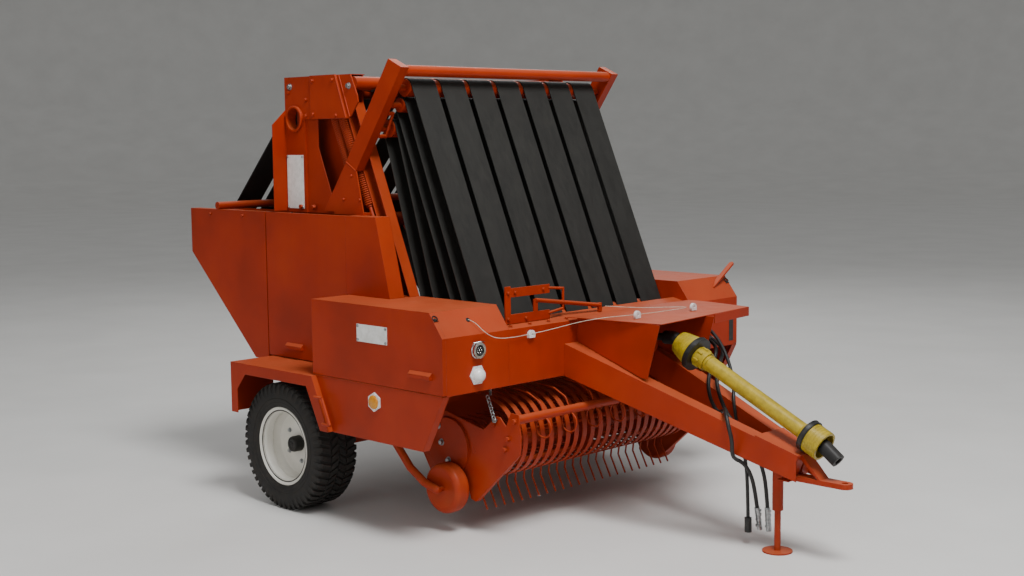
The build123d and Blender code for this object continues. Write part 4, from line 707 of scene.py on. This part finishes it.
# name, size across the flats, slot, body and places
BOLT_ROWS = (
    ("tower_bolts", 18, "body_paint", "chassis",
     facing_out(TOWER_FACE, ((-1493, 2272), (-1496, 2182), (-1680, 2185), (-1655, 2318)))
     + facing_out(HEAD_FACE, ((-1209, 2180), (-1415, 2375), (-1415, 2190), (-1236, 2375)))),
    ("tower_studs", 24, "zinc_steel", "chassis", facing_out(TOWER_FACE, ((-1640, 2349), (-1108, 2340)))),
    ("tail_bolts", 14, "body_paint", "tailgate", facing_out(COVER_FACE, ((-2347, 1607), (-2009, 1607)))),
    ("tower_foot_pins", 24, "body_paint", "chassis", facing_out(TOWER_FACE, ((-1555, 1668), (-1443, 1668)))),
    ("cheek_bolts", 24, "body_paint", "pickup",
     facing_out(CHEEK_FACE, ((-62, 600), (87, 632), (40, 536), (17, 478)))),
    ("gusset_bolts", 14, "body_paint", "chassis",
     facing_out(GUSSET_FACE, ((-1080, 1850), (-1150, 1720), (-1010, 1720)))),
    ("reel_cover_bolts", 24, "zinc_steel", "pickup",
     facing_out(REEL_COVER_FACE, ((-445, 453), (-392, 364), (-470, 540)))),
    ("beam_bolts", 14, "body_paint", "chassis",
     [(-30, y, 1094, (0.23, 0, 0.97)) for y in (-700, -560, -420, -280, 280, 420, 560, 700)]),
    ("plate_rivets", 10, "zinc_steel", "box_door_right",
     [(x, -1202, z, (0, -1, 0)) for x in (-640, -420) for z in (1026, 1097)]),
    ("sign_rivets", 10, "zinc_steel", "chassis",
     [(x, -852, z, (0, -1, 0)) for x in (-1675, -1538) for z in (1667, 1952)]),
    ("bracket_bolts", 14, "body_paint", "chassis",
     [(-55, y, z, (1, 0, 0))
      for y, z in ((-690, 1262), (-640, 1262), (-690, 1128), (-560, 1122), (-430, 1262))]),
)
for name, size, material, body, places in BOLT_ROWS:
    repeated(name, BOLTS[size], [(at(x, y, z), way) for x, y, z, way in places], material, body)


# ---------------------------------------------------------------- folds, welds and collars on the towers
PIPE_COLLAR = ((62, 0), (75, 0), (75, 8), (71, 11), (62, 11))
# each fold or weld: its ends (x, z) and distance out in mm, its radius in metres
SEAMS = (((-1215, 2404), (-1125, 2168), HEAD_FACE, 0.0028), ((-1192, 2400), (-1103, 2172), 851, 0.0034),
         ((-1122, 1925), (-1042, 1878), 866, 0.0038))
PANEL_LIP = 1189
folds = bmesh.new()
for side in BOTH:
    y = side * TOWER_FACE
    bar(folds, at(-1682, y - 1, 1640), at(-1670, y + 1, 2150))
    lathe(folds, PIPE_COLLAR, at(-1597, side * 856, 2166), (0, side, 0), 40)
    for (x0, z0), (x1, z1), face, radius in SEAMS:
        tube(folds, [at(x0, side * face, z0), at(x1, side * face, z1)], radius, 8)
    y = side * PANEL_LIP
    bar(folds, at(-1010, y - 14, 797.5), at(-6, y + 14, 801.5))
placed("tower_collars", folds, "body_paint", "chassis")


# ---------------------------------------------------------------- grips on the doors
GRIP_GAP, GRIP_REACH, GRIP_RISE = 0.5, 17.5, 17


def grip(name, x0, x1, y, z, body):
    """Slanting top of a folded grip, from the door's face out to the grip's edge."""
    work = bmesh.new()
    section = ((GRIP_GAP, 0), (GRIP_REACH, 0), (GRIP_GAP, GRIP_RISE))
    skin(work, [[work.verts.new(at(x, y + math.copysign(reach, y), z + rise)) for reach, rise in section]
                for x in (x0, x1)])
    placed(name, work, "body_paint", body, smooth=False)


for side_name, side in SIDES:
    grip("box_grip_" + side_name, -240, -77, side * BOX_FACE, 894.2, "box_door_" + side_name)
    grip("cover_grip_" + side_name, -1602, -1450, side * COVER_FACE, 874.2, "cover_door_" + side_name)


# ---------------------------------------------------------------- ribs and collars on the drive shaft's guard
SHAFT_X, SHAFT_Z, SHAFT_FALL = 475, 1006, 0.484  # a place on the shaft's axis, and its fall towards the front
SLEEVE_X, SLEEVE_RADIUS, SLEEVE_HALF = 652, 0.052, 0.016


def shaft_axis(x):
    """Place on the drive shaft's axis."""
    return at(x, 0, SHAFT_Z - SHAFT_FALL * (x - SHAFT_X))


down = (shaft_axis(1400) - shaft_axis(500)).normalized()


def rib(work, x, foot, crest, foot_half, crest_half, shift=0.0, steps=40):
    """Raised ring round the shaft, sizes in mm; shift moves it along the axis."""
    lathe(work, ((foot, -foot_half), (crest, -crest_half), (crest, crest_half), (foot, foot_half)),
          shaft_axis(x) + down * shift / 1000, down, steps)


guard = bmesh.new()
for x, radius in ((532, 66), (548, 70), (564, 74), (580, 78)):
    rib(guard, x, radius - 3, radius + 1.5, 3, 2)
for x in (1322, 1336, 1350, 1364, 1378):
    rib(guard, x, 73, 76.4, 3.5, 2.5)
for x, crest in ((636, 52), (700, 44)):
    rib(guard, x, 38, crest, 4, 3)
sleeve_turn = Matrix.Translation(shaft_axis(SLEEVE_X)) @ facing(down)
for angle in round_steps(8):
    ends = [sleeve_turn @ polar(SLEEVE_RADIUS, angle, end) for end in (-SLEEVE_HALF, SLEEVE_HALF)]
    tube(guard, ends, 0.006, 8)
placed("guard_ribs", guard, "yellow_plastic", "chassis")

collars = bmesh.new()
for x, radius, reach in ((615, 91, 10), (1299, 81, 9)):
    for shift in (-reach, reach):
        rib(collars, x, radius - 3, radius + 2, 2, 1.5, shift, 44)
placed("guard_bearing_rims", collars, "black_plastic", "chassis")


# ---------------------------------------------------------------- straps that the lift chain hangs from
STRAP_Y = 789.5
straps = bmesh.new()
for side in BOTH:
    y = side * STRAP_Y
    bar(straps, at(-100, y - 1.5, 750), at(-84, y + 1.5, 803.5))
    disc(straps, at(-92, y - 1.5, 750), (0, 1, 0), 8, 3, hole=4)
placed("chain_straps", straps, "zinc_steel", "chassis")


# ---------------------------------------------------------------- socket and lamps
SOCKET_Y, SOCKET_Z, PIN_CIRCLE = -968, 1007, 14
socket = bmesh.new()
lathe(socket, ((38, 0), (44, 0), (44, 6), (42, 9), (38, 9)), at(1, SOCKET_Y, SOCKET_Z), (1, 0, 0), 36)
pins = [(PIN_CIRCLE * math.cos(angle), PIN_CIRCLE * math.sin(angle)) for angle in round_steps(6)] + [(0, 0)]
for y, z in pins:
    disc(socket, at(18, SOCKET_Y + y, SOCKET_Z + z), (1, 0, 0), 4, 3)
tube(socket, [at(14, SOCKET_Y - 36, 1046), at(30, SOCKET_Y, 1050), at(14, SOCKET_Y + 36, 1046)], 0.005)
placed("socket_front", socket, "chrome", "chassis")
core = bmesh.new()
disc(core, at(8, SOCKET_Y, SOCKET_Z), (1, 0, 0), 38, 7)
placed("socket_core", core, "black_plastic", "chassis")

LAMP_BASE = 52                                   # radius to the corners of the six-sided base
base = bmesh.new()
low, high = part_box("front_reflectors")
deep = (high.x - low.x) * 1000
lathe(base, ((AXIS, 0), (LAMP_BASE, 0), (LAMP_BASE, deep - 3), (LAMP_BASE - 4, deep), (AXIS, deep)),
      Vector((low.x, (low.y + high.y) / 2, (low.z + high.z) / 2)), (1, 0, 0), 6)
base = placed("lamp_base", base, slots["front_reflectors"], "chassis", smooth=False)
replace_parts(base, "front_reflectors")
lens = bmesh.new()
lathe(lens, ((AXIS, 34), (12, 33), (22, 28.5), (30, 21), (35, 12), (38, 3), (38, 0), (AXIS, 0)),
      at(10, SOCKET_Y, 882), (1, 0, 0), 40)
lens = placed("domed_lens", lens, "lamp_glass", "chassis")
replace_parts(lens, "front_lens")

SIDE_LENS = ((AXIS, 12), (20, 11), (32, 8), (36, 3), (36, 0), (AXIS, 0))
for side_name, side in SIDES:
    lens = bmesh.new()
    place, out = at(-515, side * 1210, 714), (0, side, 0)
    lathe(lens, SIDE_LENS, place, out, 40)
    for reach in (10, 17, 24, 31):
        crest = 11.6 - (reach / 36) ** 2 * 6
        lathe(lens, ((reach - 1.4, crest - 3), (reach, crest), (reach + 1.4, crest - 3)), place, out, 40)
    lens = placed("side_lens_" + side_name, lens, "amber_plastic", "chassis")
    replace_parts(lens, "side_lenses")


# ---------------------------------------------------------------- latches, twine bush, coupler rings
# a latch ring in metres: its wire, gap to the sheet, reach across and up, and the drop of its legs
RING_WIRE, RING_GAP, RING_ACROSS, RING_UP, RING_LEG = 0.0028, 0.003, 0.016, 0.019, 0.012
slope = Vector((122, 0, 92)).normalized()        # the way that the slanting front of the boxes faces
# thin black sheet flush on the front face in place of the slot's opening: painted shade of the hollow behind
# it
latch = bmesh.new()
bar(latch, at(-1, 1122, 824) - Vector((0.0015, 0, 0)), at(1, 1163, 956))
placed("latch_slot", latch, "black_plastic", "chassis")
across = Vector((0, 1, 0))
rise = slope.cross(across)
for side_name, side in SIDES:
    ring = bmesh.new()
    middle = at(-67, side * 1184, 1174)
    loop = [middle + slope * RING_GAP
            + across * RING_ACROSS * math.cos(angle) + rise * RING_UP * math.sin(angle)
            for angle in (math.pi * k / 8 for k in range(9))]
    ends = [loop[-1] - rise * RING_LEG, loop[0] - rise * RING_LEG]
    tube(ring, [ends[0], *loop, ends[1], ends[0]], RING_WIRE, 8)
    disc(ring, middle, slope, 8, 2)
    placed("latch_ring_" + side_name, ring, "black_plastic", "box_door_" + side_name)
bush = bmesh.new()
disc(bush, at(-52, -978, 1154), slope, 12, 3, hole=3)
placed("twine_bush", bush, "black_plastic", "chassis")

COUPLER_LENGTH, RING_INNER = 120, 12
# each ring: height as a share of the coupler's length from its middle, radius and width in mm
COUPLER_RINGS = ((0.35, 15.2, 7), (0.18, 15.6, 12), (-0.05, 15.4, 6), (-0.3, 15.6, 8))
for name in ("coupler_front", "coupler_loop"):
    centre = middle_of(name)
    work = bmesh.new()
    for share, radius, wide in COUPLER_RINGS:
        place = Vector((centre.x, centre.y, centre.z + share * COUPLER_LENGTH / 1000))
        half = wide / 2
        lathe(work, ((RING_INNER, -half), (radius, -half), (radius, half), (RING_INNER, half)),
              place, steps=24)
    placed(name + "_rings", work, "zinc_steel", "chassis")


# ---------------------------------------------------------------- floor and light
# radius and height in metres: flat far past the machine, then a round wall
SWEEP = ((0.01, 0), (13, 0), (38, 0), (44, 0.7), (49, 3.4), (52, 8.5), (53.4, 16), (53.8, 36))
LAMPS = (                                        # name, place, width in metres, power in watts
    ("key", (4.6, -2.2, 8.6), 3.0, 860),
    ("fill", (2.0, -9.5, 4.0), 6.0, 170),
    ("back", (-6.0, 6.5, 7.5), 4.0, 220),
)
LAMP_TARGET = Vector((0.2, 0, 0.9))


def floor():
    """Pale floor that sweeps up into a round wall far behind."""
    work = bmesh.new()
    rows = [[work.verts.new(polar(r, angle, z)) for r, z in SWEEP] for angle in round_steps(96)]
    for first, second in zip(rows, rows[1:] + rows[:1]):
        for j in range(len(SWEEP) - 1):
            work.faces.new((first[j], second[j], second[j + 1], first[j + 1]))
    mesh = mesh_from("sweep", work)
    mesh.shade_smooth()
    made = bpy.data.objects.new("sweep", mesh)
    bpy.context.scene.collection.objects.link(made)
    surface, tree, shader, where = new_material("studio_floor")
    _, colour = mottle(tree, where, 900, [(0.3, linear("#dcdbd8")), (0.7, linear("#e3e2df"))], 3)
    tree.links.new(colour, shader.inputs["Base Color"])
    shader.inputs["Roughness"].default_value = 0.85
    mesh.materials.append(surface)


def light():
    """Even sky and soft lights over the machine."""
    sky = bpy.data.worlds.new("studio")
    sky.use_nodes = True
    background = sky.node_tree.nodes["Background"]
    background.inputs["Color"].default_value = linear("#e9eaeb")
    background.inputs["Strength"].default_value = 0.42
    bpy.context.scene.world = sky
    for name, place, size, power in LAMPS:
        lamp = bpy.data.lights.new(name, "AREA")
        lamp.size = size
        lamp.energy = power
        holder = bpy.data.objects.new(name, lamp)
        holder.location = place
        holder.rotation_euler = (LAMP_TARGET - Vector(place)).to_track_quat("-Z", "Y").to_euler()
        bpy.context.scene.collection.objects.link(holder)


floor()
light()
